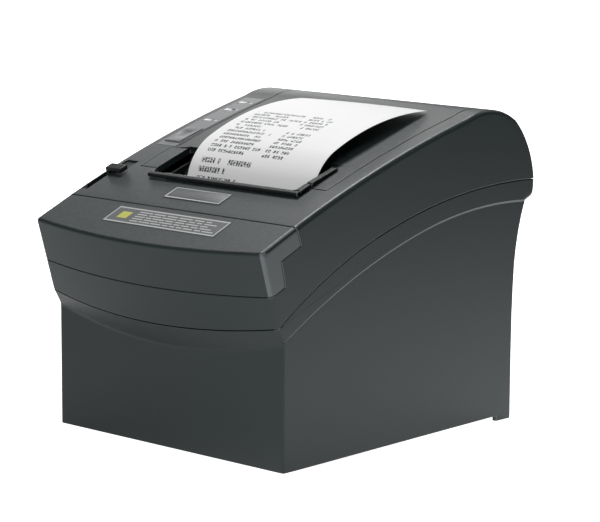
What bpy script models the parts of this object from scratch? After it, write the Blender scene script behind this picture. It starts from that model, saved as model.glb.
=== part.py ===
"""Receipt printer: a clamshell thermal printer with a drop-in paper roll, modelled as separate parts.

The frame is metres with +Z up.  X runs across the printer, the front faces -Y, and the origin is
the middle of the footprint on the surface that the printer stands on.
"""
import math

import bmesh
import bpy
from mathutils import Matrix, Vector

# ---------------------------------------------------------------- driving dimensions
WIDTH = 0.145
DEPTH = 0.190
HEIGHT = 0.147
HALF_WIDTH = WIDTH / 2
FRONT = -DEPTH / 2
REAR = DEPTH / 2
WALL = 0.0024
GAP = 0.0003
SEAM = 0.0005
CORNER = 0.0022
SIDE_STEP = 0.0007

FRONT_FACE_Y = -0.075
REAR_FACE_Y = 0.080
NOSE_BOW = 0.006
NOSE_SLOPE = (0.1072 - 0.0980) / (0.0890 - 0.0677)
CREASE_DIP = 0.006
FLARE_DIP = 0.010

PAPER_WIDTH = 0.0795
PAPER_LEFT = -0.033
PAPER_RIGHT = PAPER_LEFT + PAPER_WIDTH
PAPER_THICK = 0.0003
ROLL_CENTRE = (0.022, 0.062)
ROLL_RADIUS = 0.040
CORE_RADIUS = 0.0066
CORE_WALL = 0.0014
BUCKET_RADIUS = 0.0433

PLATEN = (-0.022, 0.096)
PLATEN_RADIUS = 0.006
SHAFT_RADIUS = 0.0022
BUSH_RADIUS = 0.0031
HEAD_TILT = math.radians(14.4)
HEAD_PIVOT = (0.0110, -0.0190)
HEAD_PIVOT_BORE = 0.0018

COVER_LEFT = -0.056
COVER_LEFT_REAR = -0.053
COVER_RIGHT = 0.062
COVER_FRONT_Y = -0.0377
COVER_JOG_Y = -0.018
COVER_REAR_Y = 0.0751
COVER_REAR_ROOM = 13
COVER_FRONT_LEAN = 0.35
COVER_HINGE = (0.0745, 0.1412)
COVER_BARREL = 0.0034
PIN_RADIUS = 0.0014
HINGE_KNUCKLES = ((-0.0700, -0.0545), (0.0632, 0.0700))
CUT_ABOVE = 0.004

WELL_LEFT = -0.042
WELL_RIGHT = 0.0495
RIM_RIGHT = 0.0530
RIM_HEIGHT = 0.0022
WELL_FRONT_Y = -0.044
WELL_REAR_Y = -0.016

LEVER_PIVOT = (-0.046, 0.092)
LEVER_BORE = 0.0023
LEVER_LEFT = -0.0690
LEVER_RIGHT = -0.0672
TAB_LEFT = -0.0690
TAB_RIGHT = -0.0585
FINGER_RECESS = (-0.0650, -0.0393)
CUT_HEIGHT = 0.1056
BLADE_EDGE_Y = -0.0345
CUTTER_SHAFT = (-0.052, 0.1009)
IDLER = (-0.016, 0.0823)
IDLER_STUD = 0.0018
FEED_MOTOR = (-0.014, 0.0720)
GEAR_LEFT = -0.0520
GEAR_RIGHT = -0.0475

COLLECTION = bpy.data.collections.new("receipt_printer")
CUTTERS = bpy.data.collections.new("cutters")

FINISHES = {
    "charcoal_plastic": ((0.055, 0.062, 0.064), 0.48, 0.0),
    "black_plastic": ((0.012, 0.013, 0.013), 0.45, 0.0),
    "grey_overlay": ((0.16, 0.17, 0.17), 0.40, 0.0),
    "button_grey": ((0.10, 0.11, 0.11), 0.45, 0.0),
    "lens_clear": ((0.60, 0.62, 0.60), 0.25, 0.0),
    "zinc_steel": ((0.55, 0.56, 0.58), 0.35, 1.0),
    "blade_steel": ((0.62, 0.63, 0.65), 0.22, 1.0),
    "aluminium": ((0.70, 0.71, 0.72), 0.38, 1.0),
    "circuit_board": ((0.02, 0.16, 0.07), 0.50, 0.0),
    "ceramic": ((0.75, 0.72, 0.62), 0.30, 0.0),
    "platen_rubber": ((0.045, 0.045, 0.048), 0.80, 0.0),
    "foot_rubber": ((0.02, 0.02, 0.02), 0.85, 0.0),
    "gear_nylon": ((0.80, 0.79, 0.74), 0.50, 0.0),
    "thermal_paper": ((0.86, 0.87, 0.86), 0.60, 0.0),
    "core_board": ((0.45, 0.36, 0.26), 0.80, 0.0),
}


# ---------------------------------------------------------------- modelling helpers
def clear_scene():
    """Empty the scene and link the two collections."""
    for item in list(bpy.data.objects):
        bpy.data.objects.remove(item, do_unlink=True)
    bpy.context.scene.collection.children.link(COLLECTION)
    bpy.context.scene.collection.children.link(CUTTERS)


def finish_material(finish):
    """The Principled material of one finish, made the first time it is asked for."""
    material = bpy.data.materials.get(finish)
    if material is None:
        colour, roughness, metallic = FINISHES[finish]
        material = bpy.data.materials.new(finish)
        material.use_nodes = True
        shader = material.node_tree.nodes["Principled BSDF"]
        shader.inputs["Base Color"].default_value = (*colour, 1.0)
        shader.inputs["Roughness"].default_value = roughness
        shader.inputs["Metallic"].default_value = metallic
    return material


def add_part(name, mesh, finish):
    """Link a mesh as a named part with its material."""
    part = bpy.data.objects.new(name, mesh)
    COLLECTION.objects.link(part)
    mesh.materials.clear()
    mesh.materials.append(finish_material(finish))
    return part


def mesh_from(bm, name):
    """Turn a bmesh into a mesh with its faces outward."""
    bmesh.ops.recalc_face_normals(bm, faces=bm.faces)
    mesh = bpy.data.meshes.new(name)
    bm.to_mesh(mesh)
    bm.free()
    return mesh


def box_mesh(low, high, turn=0.0, about=(0.0, 0.0)):
    """A box from corner to corner, turned by an angle about an X axis through (y, z)."""
    bm = bmesh.new()
    bmesh.ops.create_cube(bm, size=1.0)
    size = [h - l for l, h in zip(low, high)]
    middle = [(h + l) / 2 for l, h in zip(low, high)]
    bmesh.ops.scale(bm, vec=size, verts=bm.verts)
    bmesh.ops.translate(bm, vec=middle, verts=bm.verts)
    centre = Vector((0.0, *about))
    bmesh.ops.rotate(bm, cent=centre, matrix=Matrix.Rotation(turn, 3, "X"), verts=bm.verts)
    return mesh_from(bm, "box")


def rod_mesh(start, end, radius, sides=32):
    """A round rod between two points."""
    start = Vector(start)
    end = Vector(end)
    bm = bmesh.new()
    bmesh.ops.create_cone(bm, cap_ends=True, segments=sides, radius1=radius, radius2=radius,
                          depth=(end - start).length)
    turn = Vector((0, 0, 1)).rotation_difference(end - start).to_matrix()
    bmesh.ops.rotate(bm, matrix=turn, verts=bm.verts)
    bmesh.ops.translate(bm, vec=(start + end) / 2, verts=bm.verts)
    return mesh_from(bm, "rod")


def x_rod(centre, left, right, radius, sides=32):
    """A round rod along X through (y, z)."""
    return rod_mesh((left, *centre), (right, *centre), radius, sides)


def plate_mesh(outline, low, high, plane="YZ"):
    """A flat outline given some thickness: YZ outlines run along X, XY outlines run along Z."""
    curve = bpy.data.curves.new("outline", "CURVE")
    curve.dimensions = "2D"
    curve.fill_mode = "BOTH"
    curve.extrude = (high - low) / 2
    spline = curve.splines.new("POLY")
    spline.points.add(len(outline) - 1)
    for point, (across, up) in zip(spline.points, outline):
        point.co = (across, up, 0.0, 1.0)
    spline.use_cyclic_u = True
    holder = bpy.data.objects.new("outline", curve)
    bpy.context.scene.collection.objects.link(holder)
    graph = bpy.context.evaluated_depsgraph_get()
    mesh = bpy.data.meshes.new_from_object(holder.evaluated_get(graph))
    bpy.data.objects.remove(holder)
    bm = bmesh.new()
    bm.from_mesh(mesh)
    bmesh.ops.remove_doubles(bm, verts=bm.verts, dist=1e-6)
    middle = (high + low) / 2
    if plane == "YZ":
        bmesh.ops.transform(bm, matrix=Matrix(((0, 0, 1, middle), (1, 0, 0, 0), (0, 1, 0, 0), (0, 0, 0, 1))),
                            verts=bm.verts)
    else:
        bmesh.ops.translate(bm, vec=(0, 0, middle), verts=bm.verts)
    return mesh_from(bm, "plate")


def loft_mesh(sections):
    """A closed skin over sections (x, [(y, z), ...]) that all have the same number of points."""
    bm = bmesh.new()
    rings = [[bm.verts.new((x, y, z)) for y, z in outline] for x, outline in sections]
    count = len(rings[0])
    for ring, following in zip(rings, rings[1:]):
        for i in range(count):
            j = (i + 1) % count
            bm.faces.new((ring[i], ring[j], following[j], following[i]))
    bm.faces.new(rings[0])
    bm.faces.new(list(reversed(rings[-1])))
    bmesh.ops.recalc_face_normals(bm, faces=bm.faces)
    bmesh.ops.triangulate(bm, faces=[f for f in bm.faces if len(f.verts) > 4])
    return mesh_from(bm, "loft")


def boolean(part, mesh, operation="DIFFERENCE"):
    """Cut, join or intersect a part with a mesh, and keep the result in the part."""
    tool = bpy.data.objects.new("cutter", mesh)
    CUTTERS.objects.link(tool)
    tool.hide_render = True
    tool.display_type = "WIRE"
    step = part.modifiers.new("boolean", "BOOLEAN")
    step.operation = operation
    step.solver = "EXACT"
    step.object = tool
    graph = bpy.context.evaluated_depsgraph_get()
    result = bpy.data.meshes.new_from_object(part.evaluated_get(graph))
    part.modifiers.remove(step)
    part.data = result
    bpy.data.objects.remove(tool)
    return part


def cut(part, *meshes):
    """Cut each mesh out of a part."""
    for mesh in meshes:
        boolean(part, mesh)
    return part


def join(part, *meshes):
    """Join each mesh to a part as one solid."""
    for mesh in meshes:
        boolean(part, mesh, "UNION")
    return part


def clean(part):
    """Merge flat neighbours and drop the vertices along straight edges that cutting leaves behind."""
    bm = bmesh.new()
    bm.from_mesh(part.data)
    bmesh.ops.dissolve_limit(bm, angle_limit=math.radians(0.15), verts=bm.verts, edges=bm.edges)
    bm.to_mesh(part.data)
    bm.free()
    return part


def smooth(part, angle=30.0):
    """Shade a round part smooth except at its sharp edges."""
    part.data.shade_smooth()
    part.data.set_sharp_from_angle(angle=math.radians(angle))
    return part


# ---------------------------------------------------------------- curves of the casing
def arc(first, through, last, steps):
    """Points on the circle through three points, without the last one."""
    (ax, ay), (bx, by), (cx, cy) = first, through, last
    d = 2 * (ax * (by - cy) + bx * (cy - ay) + cx * (ay - by))
    ux = ((ax**2 + ay**2) * (by - cy) + (bx**2 + by**2) * (cy - ay) + (cx**2 + cy**2) * (ay - by)) / d
    uy = ((ax**2 + ay**2) * (cx - bx) + (bx**2 + by**2) * (ax - cx) + (cx**2 + cy**2) * (bx - ax)) / d
    radius = math.hypot(ax - ux, ay - uy)
    start = math.atan2(ay - uy, ax - ux)
    sweep = math.atan2(cy - uy, cx - ux) - start
    middle = math.atan2(by - uy, bx - ux) - start
    full = 2 * math.pi
    if not min(0, sweep) <= middle <= max(0, sweep):
        middle = (middle + full) if middle < 0 else (middle - full)
        sweep = (sweep + full) if middle > 0 and sweep < 0 else sweep
        sweep = (sweep - full) if middle < 0 and sweep > 0 else sweep
    angles = [start + sweep * i / steps for i in range(steps)]
    return [(ux + radius * math.cos(a), uy + radius * math.sin(a)) for a in angles]


def round_points(centre, radius, start, end, steps):
    """Points on an arc given by its centre and its angles in degrees, both ends included."""
    angles = [math.radians(start + (end - start) * i / steps) for i in range(steps + 1)]
    return [(centre[0] + radius * math.cos(a), centre[1] + radius * math.sin(a)) for a in angles]


TOP_LINE = (
    arc((-0.0677, 0.1072), (-0.006, 0.1301), (0.047, 0.1449), 12)
    + arc((0.047, 0.1449), (0.066, HEIGHT), (0.081, 0.1412), 7)
    + arc((0.081, 0.1412), (0.0915, 0.1262), (REAR, 0.1125), 6)
    + [(REAR, 0.1125)]
)
PARTING_LINE = (
    arc((-0.0786, 0.0642), (-0.0489, 0.0826), (-0.0114, 0.0983), 8)
    + arc((-0.0114, 0.0983), (0.035, 0.1094), (REAR, 0.1125), 8)
    + [(REAR, 0.1125)]
)
ARCH_LINE = (
    arc((-0.0755, 0.0570), (-0.030, 0.0804), (0.010, 0.0944), 7)
    + arc((0.010, 0.0944), (0.050, 0.1020), (0.0885, 0.1024), 7)
    + [(0.0885, 0.1024)]
)
COVER_SPLIT = [(-0.0679, 0.1068), (-0.0650, 0.0988), (-0.0772, 0.0935), (-0.0748, 0.0819), (-0.0835, 0.0783)]


def height_on(line, y):
    """Height of a side-view line at y."""
    for (y0, z0), (y1, z1) in zip(line, line[1:]):
        if y0 <= y <= y1:
            return z0 + (z1 - z0) * (y - y0) / (y1 - y0)
    return line[-1][1]


def slope_on(line, y):
    """Angle of a side-view line at y."""
    reach = 0.004
    return math.atan2(height_on(line, y + reach) - height_on(line, y - reach), 2 * reach)


def casing_outline(x):
    """Side-view outline of the whole casing at x: the nose bows forward in the middle."""
    bow = 1 - (x / HALF_WIDTH) ** 2
    front = [
        (FRONT_FACE_Y, 0.0),
        (FRONT_FACE_Y, 0.0570 - FLARE_DIP * bow),
        (-0.0790 - NOSE_BOW * bow, 0.0642 - CREASE_DIP * bow),
        (FRONT + NOSE_BOW * (1 - bow), 0.0980 - NOSE_BOW * NOSE_SLOPE * bow),
    ]
    rear = [
        (0.0943, 0.1074),
        (0.0922, 0.1036),
        (0.0885, 0.1024),
        (0.0842, 0.0890),
        (0.0816, 0.0740),
        (0.0803, 0.0500),
        (REAR_FACE_Y, 0.0230),
        (REAR_FACE_Y, 0.0),
    ]
    return front + TOP_LINE + rear


def inset(outline, distance):
    """Move a closed clockwise outline inwards by a distance."""
    result = []
    count = len(outline)
    for i, point in enumerate(outline):
        before = Vector(outline[i - 1])
        here = Vector(point)
        after = Vector(outline[(i + 1) % count])
        edge_in = (here - before).normalized()
        edge_out = (after - here).normalized()
        side_in = Vector((edge_in.y, -edge_in.x))
        side_out = Vector((edge_out.y, -edge_out.x))
        middle = (side_in + side_out).normalized()
        result.append(tuple(here + middle * distance / max(0.5, middle.dot(side_in))))
    return result


def casing_mesh(shrink=0.0, foot=0.0):
    """The whole casing as a solid, optionally shrunk by a wall and carried below the base."""
    end = HALF_WIDTH - shrink
    rounding = [] if shrink else [(end, CORNER), (end - 0.0007, CORNER * 0.35), (end - CORNER, 0.0)]
    ends = rounding or [(end, 0.0)]
    stations = [(-x, d) for x, d in ends] + [(x * HALF_WIDTH / 5.5, 0.0) for x in range(-5, 6)]
    stations += [(x, d) for x, d in reversed(ends)]
    sections = []
    for x, corner in stations:
        outline = inset(casing_outline(x), shrink + corner)
        outline[0] = (outline[0][0], foot)
        outline[-1] = (outline[-1][0], foot)
        sections.append((x, outline))
    return loft_mesh(sections)


def above_parting(shift):
    """Everything above the parting line, which follows the bowed crease round the front."""
    sections = []
    for i in range(-6, 7):
        x = 0.08 * i / 6
        bow = max(0.0, 1 - (x / HALF_WIDTH) ** 2)
        nose = 0.0642 - CREASE_DIP * bow
        line = [(-0.12, nose), (-0.0789, nose)] + PARTING_LINE[1:] + [(0.12, PARTING_LINE[-1][1])]
        outline = [(y, z + shift) for y, z in line] + [(0.12, 0.20), (-0.12, 0.20)]
        sections.append((x, outline))
    return loft_mesh(sections)


def ahead_of_split(shift):
    """Everything in front of the front cover's stepped seam."""
    line = [(-0.0660, 0.1180)] + COVER_SPLIT + [(-0.1200, 0.0625)]
    outline = [(y - shift, z + shift * 0.4) for y, z in line] + [(-0.1200, 0.1180)]
    return plate_mesh(outline, -0.08, 0.08)


def cover_plan(grow):
    """Plan outline of the roll cover, grown or shrunk by half a seam."""
    left = COVER_LEFT - grow
    left_rear = COVER_LEFT_REAR - grow
    right = COVER_RIGHT + grow
    front = COVER_FRONT_Y - grow
    rear = COVER_REAR_Y + grow * COVER_REAR_ROOM
    jog = COVER_JOG_Y
    right_side = [(right, front), (right, rear)]
    return [(left, front), *right_side, (left_rear, rear), (left_rear, jog), (left, jog - 0.001)]


def cover_block(grow):
    """The block of space that the roll cover takes, its front face leaning forward as it rises."""
    front_edge_z = 0.118
    mesh = plate_mesh(cover_plan(grow), 0.085, 0.160, "XY")
    for vertex in mesh.vertices:
        if vertex.co.y < COVER_JOG_Y - 0.01:
            vertex.co.y -= COVER_FRONT_LEAN * (vertex.co.z - front_edge_z)
    return mesh


def well_block():
    """The paper well, cut down through the top of the casing."""
    return box_mesh((WELL_LEFT, WELL_FRONT_Y, 0.09), (WELL_RIGHT, WELL_REAR_Y, 0.16))


def head_point(out, along):
    """A point of the print head's frame: out from the platen's axis, and along the paper's path."""
    y = PLATEN[0] - out * math.cos(HEAD_TILT) - along * math.sin(HEAD_TILT)
    z = PLATEN[1] - out * math.sin(HEAD_TILT) + along * math.cos(HEAD_TILT)
    return (y, z)


def head_block(near, far, bottom, top, left, right):
    """A box in the print head's frame."""
    outline = [head_point(near, bottom), head_point(near, top), head_point(far, top), head_point(far, bottom)]
    return plate_mesh(outline, left, right)


def on_top(x, y, length, width, low, high):
    """A box whose middle lies on the sloping top at (x, y), between two heights over the surface."""
    z = height_on(TOP_LINE, y)
    return box_mesh((x - width / 2, y - length / 2, z + low), (x + width / 2, y + length / 2, z + high),
                    slope_on(TOP_LINE, y), (y, z))


def ribbon(centre_line, thickness):
    """Closed outline of a thin strip around a centre line in side view."""
    upper = []
    lower = []
    for i, point in enumerate(centre_line):
        before = Vector(centre_line[max(0, i - 1)])
        after = Vector(centre_line[min(len(centre_line) - 1, i + 1)])
        along = (after - before).normalized()
        side = Vector((-along.y, along.x)) * thickness / 2
        upper.append(tuple(Vector(point) + side))
        lower.append(tuple(Vector(point) - side))
    return upper + lower[::-1]


def gear_outline(centre, radius, teeth, depth):
    """Outline of a spur gear in side view."""
    outline = []
    for i in range(teeth):
        for share, reach in ((0.0, radius - depth), (0.30, radius - depth), (0.45, radius), (0.80, radius)):
            angle = 2 * math.pi * (i + share) / teeth
            outline.append((centre[0] + reach * math.cos(angle), centre[1] + reach * math.sin(angle)))
    return outline


def gear(name, centre, left, right, radius, teeth, bore):
    """A nylon spur gear along X with a round bore."""
    part = add_part(name, plate_mesh(gear_outline(centre, radius, teeth, 0.0011), left, right), "gear_nylon")
    if bore:
        cut(part, x_rod(centre, left - 0.001, right + 0.001, bore, 20))
    return part


# ---------------------------------------------------------------- casing
FOOT_RADIUS = 0.0070
BOSSES = [(sx * 0.0620, sy * 0.0400) for sx in (-1, 1) for sy in (-1, 1)]
FEET = {"foot_front_left": (-0.056, -0.060), "foot_front_right": (0.056, -0.060),
        "foot_rear_left": (-0.056, 0.060), "foot_rear_right": (0.056, 0.060)}
REAR_WINDOW = ((-0.047, 0.0725, 0.0088), (0.047, 0.0900, 0.0290))


def casing_shell(name):
    """The casing's hollow shell before it is split."""
    part = add_part(name, casing_mesh(), "charcoal_plastic")
    cavity_side = WALL + SIDE_STEP
    return cut(part, casing_mesh(cavity_side, -0.010))


def make_base_housing():
    """Lower casing: an open box with an arched shoulder, screw bosses and the rear window."""
    base = casing_shell("base_housing")
    cut(base, above_parting(-SEAM / 2))
    side_panel = [(-0.085, -0.01)] + [(-0.085, 0.0570)] + ARCH_LINE + [(0.100, 0.1024), (0.100, -0.01)]
    for side in (-1, 1):
        low, high = sorted((side * (HALF_WIDTH - SIDE_STEP), side * 0.080))
        cut(base, plate_mesh(side_panel, low, high))
    cut(base, plate_mesh([(-0.068, -0.01), (-0.068, 0.0), (0.067, 0.0024), (0.0695, 0.0024), (0.0695, -0.01)],
                         -0.08, 0.08))
    for x, y in BOSSES:
        outer = math.copysign(0.0705, x)
        low, high = sorted((x - math.copysign(0.004, x), outer))
        join(base, box_mesh((low, y - 0.004, 0.0056), (high, y + 0.004, 0.026)))
        cut(base, rod_mesh((x, y, 0.0), (x, y, 0.022), 0.0018, 16))
    cut(base, box_mesh(*REAR_WINDOW))
    return clean(base)


def make_upper_housing():
    """Upper casing around the roll cover, with the lever slot, the button and lamp openings."""
    upper = casing_shell("upper_housing")
    boolean(upper, above_parting(SEAM / 2), "INTERSECT")
    cut(upper, ahead_of_split(-SEAM / 2), cover_block(SEAM / 2), well_block())
    slot_low = height_on(TOP_LINE, -0.052) - 0.008
    cut(upper, box_mesh((LEVER_LEFT - 0.0012, -0.0620, slot_low), (LEVER_RIGHT + 0.0005, -0.0428, 0.13)))
    cut(upper, on_top(*FINGER_RECESS, 0.0100, 0.0075, -0.0010, CUT_ABOVE))
    cut(upper, plate_mesh(panel_outline(-0.0009, CUT_ABOVE), PANEL_LEFT - GAP, PANEL_RIGHT + GAP))
    cut_panel_openings(upper)
    for left, right in HINGE_KNUCKLES:
        join(upper, box_mesh((left, 0.0700, 0.1365), (right, 0.0772, 0.1432)))
        cut(upper, x_rod(COVER_HINGE, left - 0.002, right + 0.002, PIN_RADIUS + GAP, 20))
    return clean(upper)


def cut_panel_openings(part):
    """Cut the openings for the button and the lamps through a part."""
    deep = -0.008
    cut(part, on_top(*BUTTON_PLACE, BUTTON_LENGTH + 2 * GAP, BUTTON_WIDTH + 2 * GAP, deep, CUT_ABOVE))
    for y in LAMP_YS:
        cut(part, on_top(LAMP_X, y, LAMP_LENGTH + 2 * GAP, LAMP_WIDTH + 2 * GAP, deep, CUT_ABOVE))


def make_front_cover():
    """Nose cover that slides forward off the cutter."""
    cover = casing_shell("front_cover")
    boolean(cover, above_parting(SEAM / 2), "INTERSECT")
    return clean(boolean(cover, ahead_of_split(SEAM / 2), "INTERSECT"))


def make_roll_cover():
    """Top cover over the paper roll, with the rolled rear edge that turns on the hinge pins."""
    cover = casing_shell("roll_cover")
    boolean(cover, cover_block(-SEAM / 2), "INTERSECT")
    cut(cover, well_block())
    left = COVER_LEFT_REAR + SEAM / 2
    right = COVER_RIGHT - SEAM / 2
    join(cover, x_rod(COVER_HINGE, left, right, COVER_BARREL))
    for start, end in ((left - 0.001, left + 0.010), (right - 0.010, right + 0.001)):
        cut(cover, x_rod(COVER_HINGE, start, end, PIN_RADIUS + GAP, 20))
    return clean(cover)


def make_base_plate():
    """Steel bottom plate with its screw holes."""
    sheet = box_mesh((-0.0690, -0.0715, 0.0034), (0.0690, 0.0765, 0.0050))
    plate = add_part("base_plate", sheet, "zinc_steel")
    for x, y in BOSSES:
        cut(plate, rod_mesh((x, y, 0.0), (x, y, 0.01), 0.0019, 16))
    return plate


def make_feet_and_screws():
    """Four rubber feet and the four screws that hold the bottom plate."""
    plate_underside = 0.0031
    for name, (x, y) in FEET.items():
        add_part(name, rod_mesh((x, y, 0.0), (x, y, plate_underside), FOOT_RADIUS), "foot_rubber")
    for number, (x, y) in enumerate(BOSSES, 1):
        head = rod_mesh((x, y, 0.0012), (x, y, plate_underside), 0.0028, 20)
        screw = add_part(f"base_screw_{number}", head, "zinc_steel")
        join(screw, rod_mesh((x, y, 0.0025), (x, y, 0.0180), 0.0015, 12))


# ---------------------------------------------------------------- operator panel
PANEL_LEFT = -0.0672
PANEL_RIGHT = -0.0545
PANEL_FRONT_Y = -0.0172
PANEL_REAR_Y = 0.043
BUTTON_PLACE = (-0.0607, -0.0055)
BUTTON_LENGTH = 0.0165
BUTTON_WIDTH = 0.0098
LAMP_X = -0.0625
LAMP_YS = (0.0125, 0.0264, 0.0364)
LAMP_LENGTH = 0.0022
LAMP_WIDTH = 0.0048


def panel_outline(low, high):
    """Strip along the top line from the panel's front to its rear, between two heights."""
    ys = [PANEL_FRONT_Y + (PANEL_REAR_Y - PANEL_FRONT_Y) * i / 8 for i in range(9)]
    line = [(y, height_on(TOP_LINE, y)) for y in ys]
    return [(y, z + low) for y, z in line] + [(y, z + high) for y, z in reversed(line)]


def make_operator_panel():
    """Overlay, three lamps, feed button and the small board under them."""
    film = plate_mesh(panel_outline(-0.0005, 0.0001), PANEL_LEFT, PANEL_RIGHT)
    cut_panel_openings(add_part("led_panel", film, "grey_overlay"))
    for number, y in enumerate(LAMP_YS, 1):
        lens = on_top(LAMP_X, y, LAMP_LENGTH, LAMP_WIDTH, -0.0040, 0.0002)
        add_part(f"lamp_lens_{number}", lens, "lens_clear")
    button = on_top(*BUTTON_PLACE, BUTTON_LENGTH, BUTTON_WIDTH, -0.0040, 0.0005)
    add_part("feed_button", button, "button_grey")
    add_part("panel_board", on_top(-0.0615, 0.0115, 0.0600, 0.0130, -0.0075, -0.0059), "circuit_board")


# ---------------------------------------------------------------- paper
def make_paper():
    """Paper roll on its core, the web up to the cutter, and the printed receipt over the cover."""
    for name, outer, inner, sides, finish in (
            ("paper_roll", ROLL_RADIUS, CORE_RADIUS + GAP / 2, 64, "thermal_paper"),
            ("roll_core", CORE_RADIUS - GAP / 2, CORE_RADIUS - CORE_WALL, 32, "core_board")):
        part = add_part(name, x_rod(ROLL_CENTRE, PAPER_LEFT, PAPER_RIGHT, outer, sides), finish)
        smooth(cut(part, x_rod(ROLL_CENTRE, PAPER_LEFT - 0.01, PAPER_RIGHT + 0.01, inner, 32)))
    path = PLATEN_RADIUS + GAP + PAPER_THICK / 2
    web = [head_point(path, -0.0430), head_point(path, 0.0030), (-0.0306, 0.1010), (-0.0316, 0.1048)]
    add_part("paper_web", plate_mesh(ribbon(web, PAPER_THICK), PAPER_LEFT, PAPER_RIGHT), "thermal_paper")
    receipt = ([(-0.0316, 0.1066), (-0.0310, 0.1115)]
               + arc((-0.0300, 0.1160), (-0.0240, 0.1270), (-0.0150, 0.1335), 5)
               + arc((-0.0150, 0.1335), (0.0110, 0.1427), (0.0470, 0.1465), 9)
               + [(0.0470, 0.1465)])
    strip = plate_mesh(ribbon(receipt, PAPER_THICK), PAPER_LEFT, PAPER_RIGHT)
    add_part("receipt_paper", strip, "thermal_paper")


def make_paper_bucket():
    """Trough that the roll drops into."""
    wall = 0.0018
    side_room = 0.0015
    rear_top = 0.088
    centre = (ROLL_CENTRE[0], ROLL_CENTRE[1] + BUCKET_RADIUS - ROLL_RADIUS - GAP)
    sides = []
    for radius in (BUCKET_RADIUS + wall, BUCKET_RADIUS):
        sides.append(round_points(centre, radius, 180, 360, 24) + [(centre[0] + radius, rear_top)])
    outer, inner = sides
    left = PAPER_LEFT - side_room
    right = PAPER_RIGHT + side_room
    trough = plate_mesh(outer + inner[::-1], left - wall, right + wall)
    bucket = add_part("paper_bucket", trough, "black_plastic")
    for x in (left - wall, right):
        join(bucket, plate_mesh(outer, x, x + wall))
    return bucket


# ---------------------------------------------------------------- print mechanism
def slot_outline(centre, radius, reach):
    """Notch outline open along the way that the platen leaves the frame."""
    aim = math.atan2(0.91, -0.40)
    ahead = Vector((math.cos(aim), math.sin(aim))) * reach
    side = Vector((-ahead.y, ahead.x)).normalized() * radius
    first = math.degrees(aim) + 90
    end = round_points(centre, radius, first, first + 180, 10)
    return end + [tuple(Vector(end[-1]) + ahead), tuple(Vector(end[-1]) + ahead + 2 * side)]


def make_mechanism_frame():
    """Two side plates, the cross bar behind the head, the head's pivot pin and its springs."""
    outline = [(-0.0500, 0.0600), (-0.0500, 0.0980), (-0.0120, 0.1010), (-0.0080, 0.0920), (-0.0080, 0.0600)]
    pivot = head_point(*HEAD_PIVOT)
    for name, left in (("mech_side_left", -0.0463), ("mech_side_right", 0.0523)):
        right = left + 0.0015
        side = add_part(name, plate_mesh(outline, left, right), "zinc_steel")
        cut(side, plate_mesh(slot_outline(PLATEN, SHAFT_RADIUS + 0.0008, 0.02), left - 0.001, right + 0.001))
        cut(side, x_rod(pivot, left - 0.001, right + 0.001, HEAD_PIVOT_BORE, 20))
        if name == "mech_side_left":
            cut(side, x_rod(LEVER_PIVOT, left - 0.001, right + 0.001, LEVER_BORE, 20))
            join(side, x_rod(IDLER, GEAR_LEFT - 0.0006, left + 0.0005, IDLER_STUD, 20))
    add_part("head_pivot_pin", x_rod(pivot, -0.0475, 0.0550, 0.0015, 16), "zinc_steel")
    add_part("mech_cross_bar", head_block(0.0203, 0.0218, -0.0240, 0.0020, -0.0445, 0.0520), "zinc_steel")
    for name, x in (("head_spring_left", -0.0200), ("head_spring_right", 0.0335)):
        add_spring(name, x)


def add_spring(name, x):
    """Compression spring between the cross bar and the print head."""
    turns = 4
    per_turn = 10
    coil = 0.0024
    near = 0.0138
    far = 0.0197
    curve = bpy.data.curves.new(name, "CURVE")
    curve.dimensions = "3D"
    curve.bevel_depth = 0.0003
    curve.bevel_resolution = 1
    curve.use_fill_caps = True
    spline = curve.splines.new("POLY")
    spline.points.add(turns * per_turn)
    for i, point in enumerate(spline.points):
        angle = 2 * math.pi * i / per_turn
        out = near + (far - near) * i / (turns * per_turn)
        y, z = head_point(out, -0.0040 + coil * math.sin(angle))
        point.co = (x + coil * math.cos(angle), y, z, 1.0)
    part = bpy.data.objects.new(name, curve)
    COLLECTION.objects.link(part)
    curve.materials.append(finish_material("blade_steel"))


def make_head():
    """Print head: ceramic board on an aluminium heat sink that tips on the pivot pin."""
    top = 0.0045
    extrusion = head_block(0.0082, 0.0122, -0.0220, top, -0.0400, 0.0480)
    sink = add_part("head_heatsink", extrusion, "aluminium")
    cut(sink, x_rod(head_point(*HEAD_PIVOT), -0.045, 0.055, HEAD_PIVOT_BORE, 20))
    add_part("head_board", head_block(0.0069, 0.0079, -0.0150, top, -0.0385, 0.0465), "ceramic")


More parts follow.
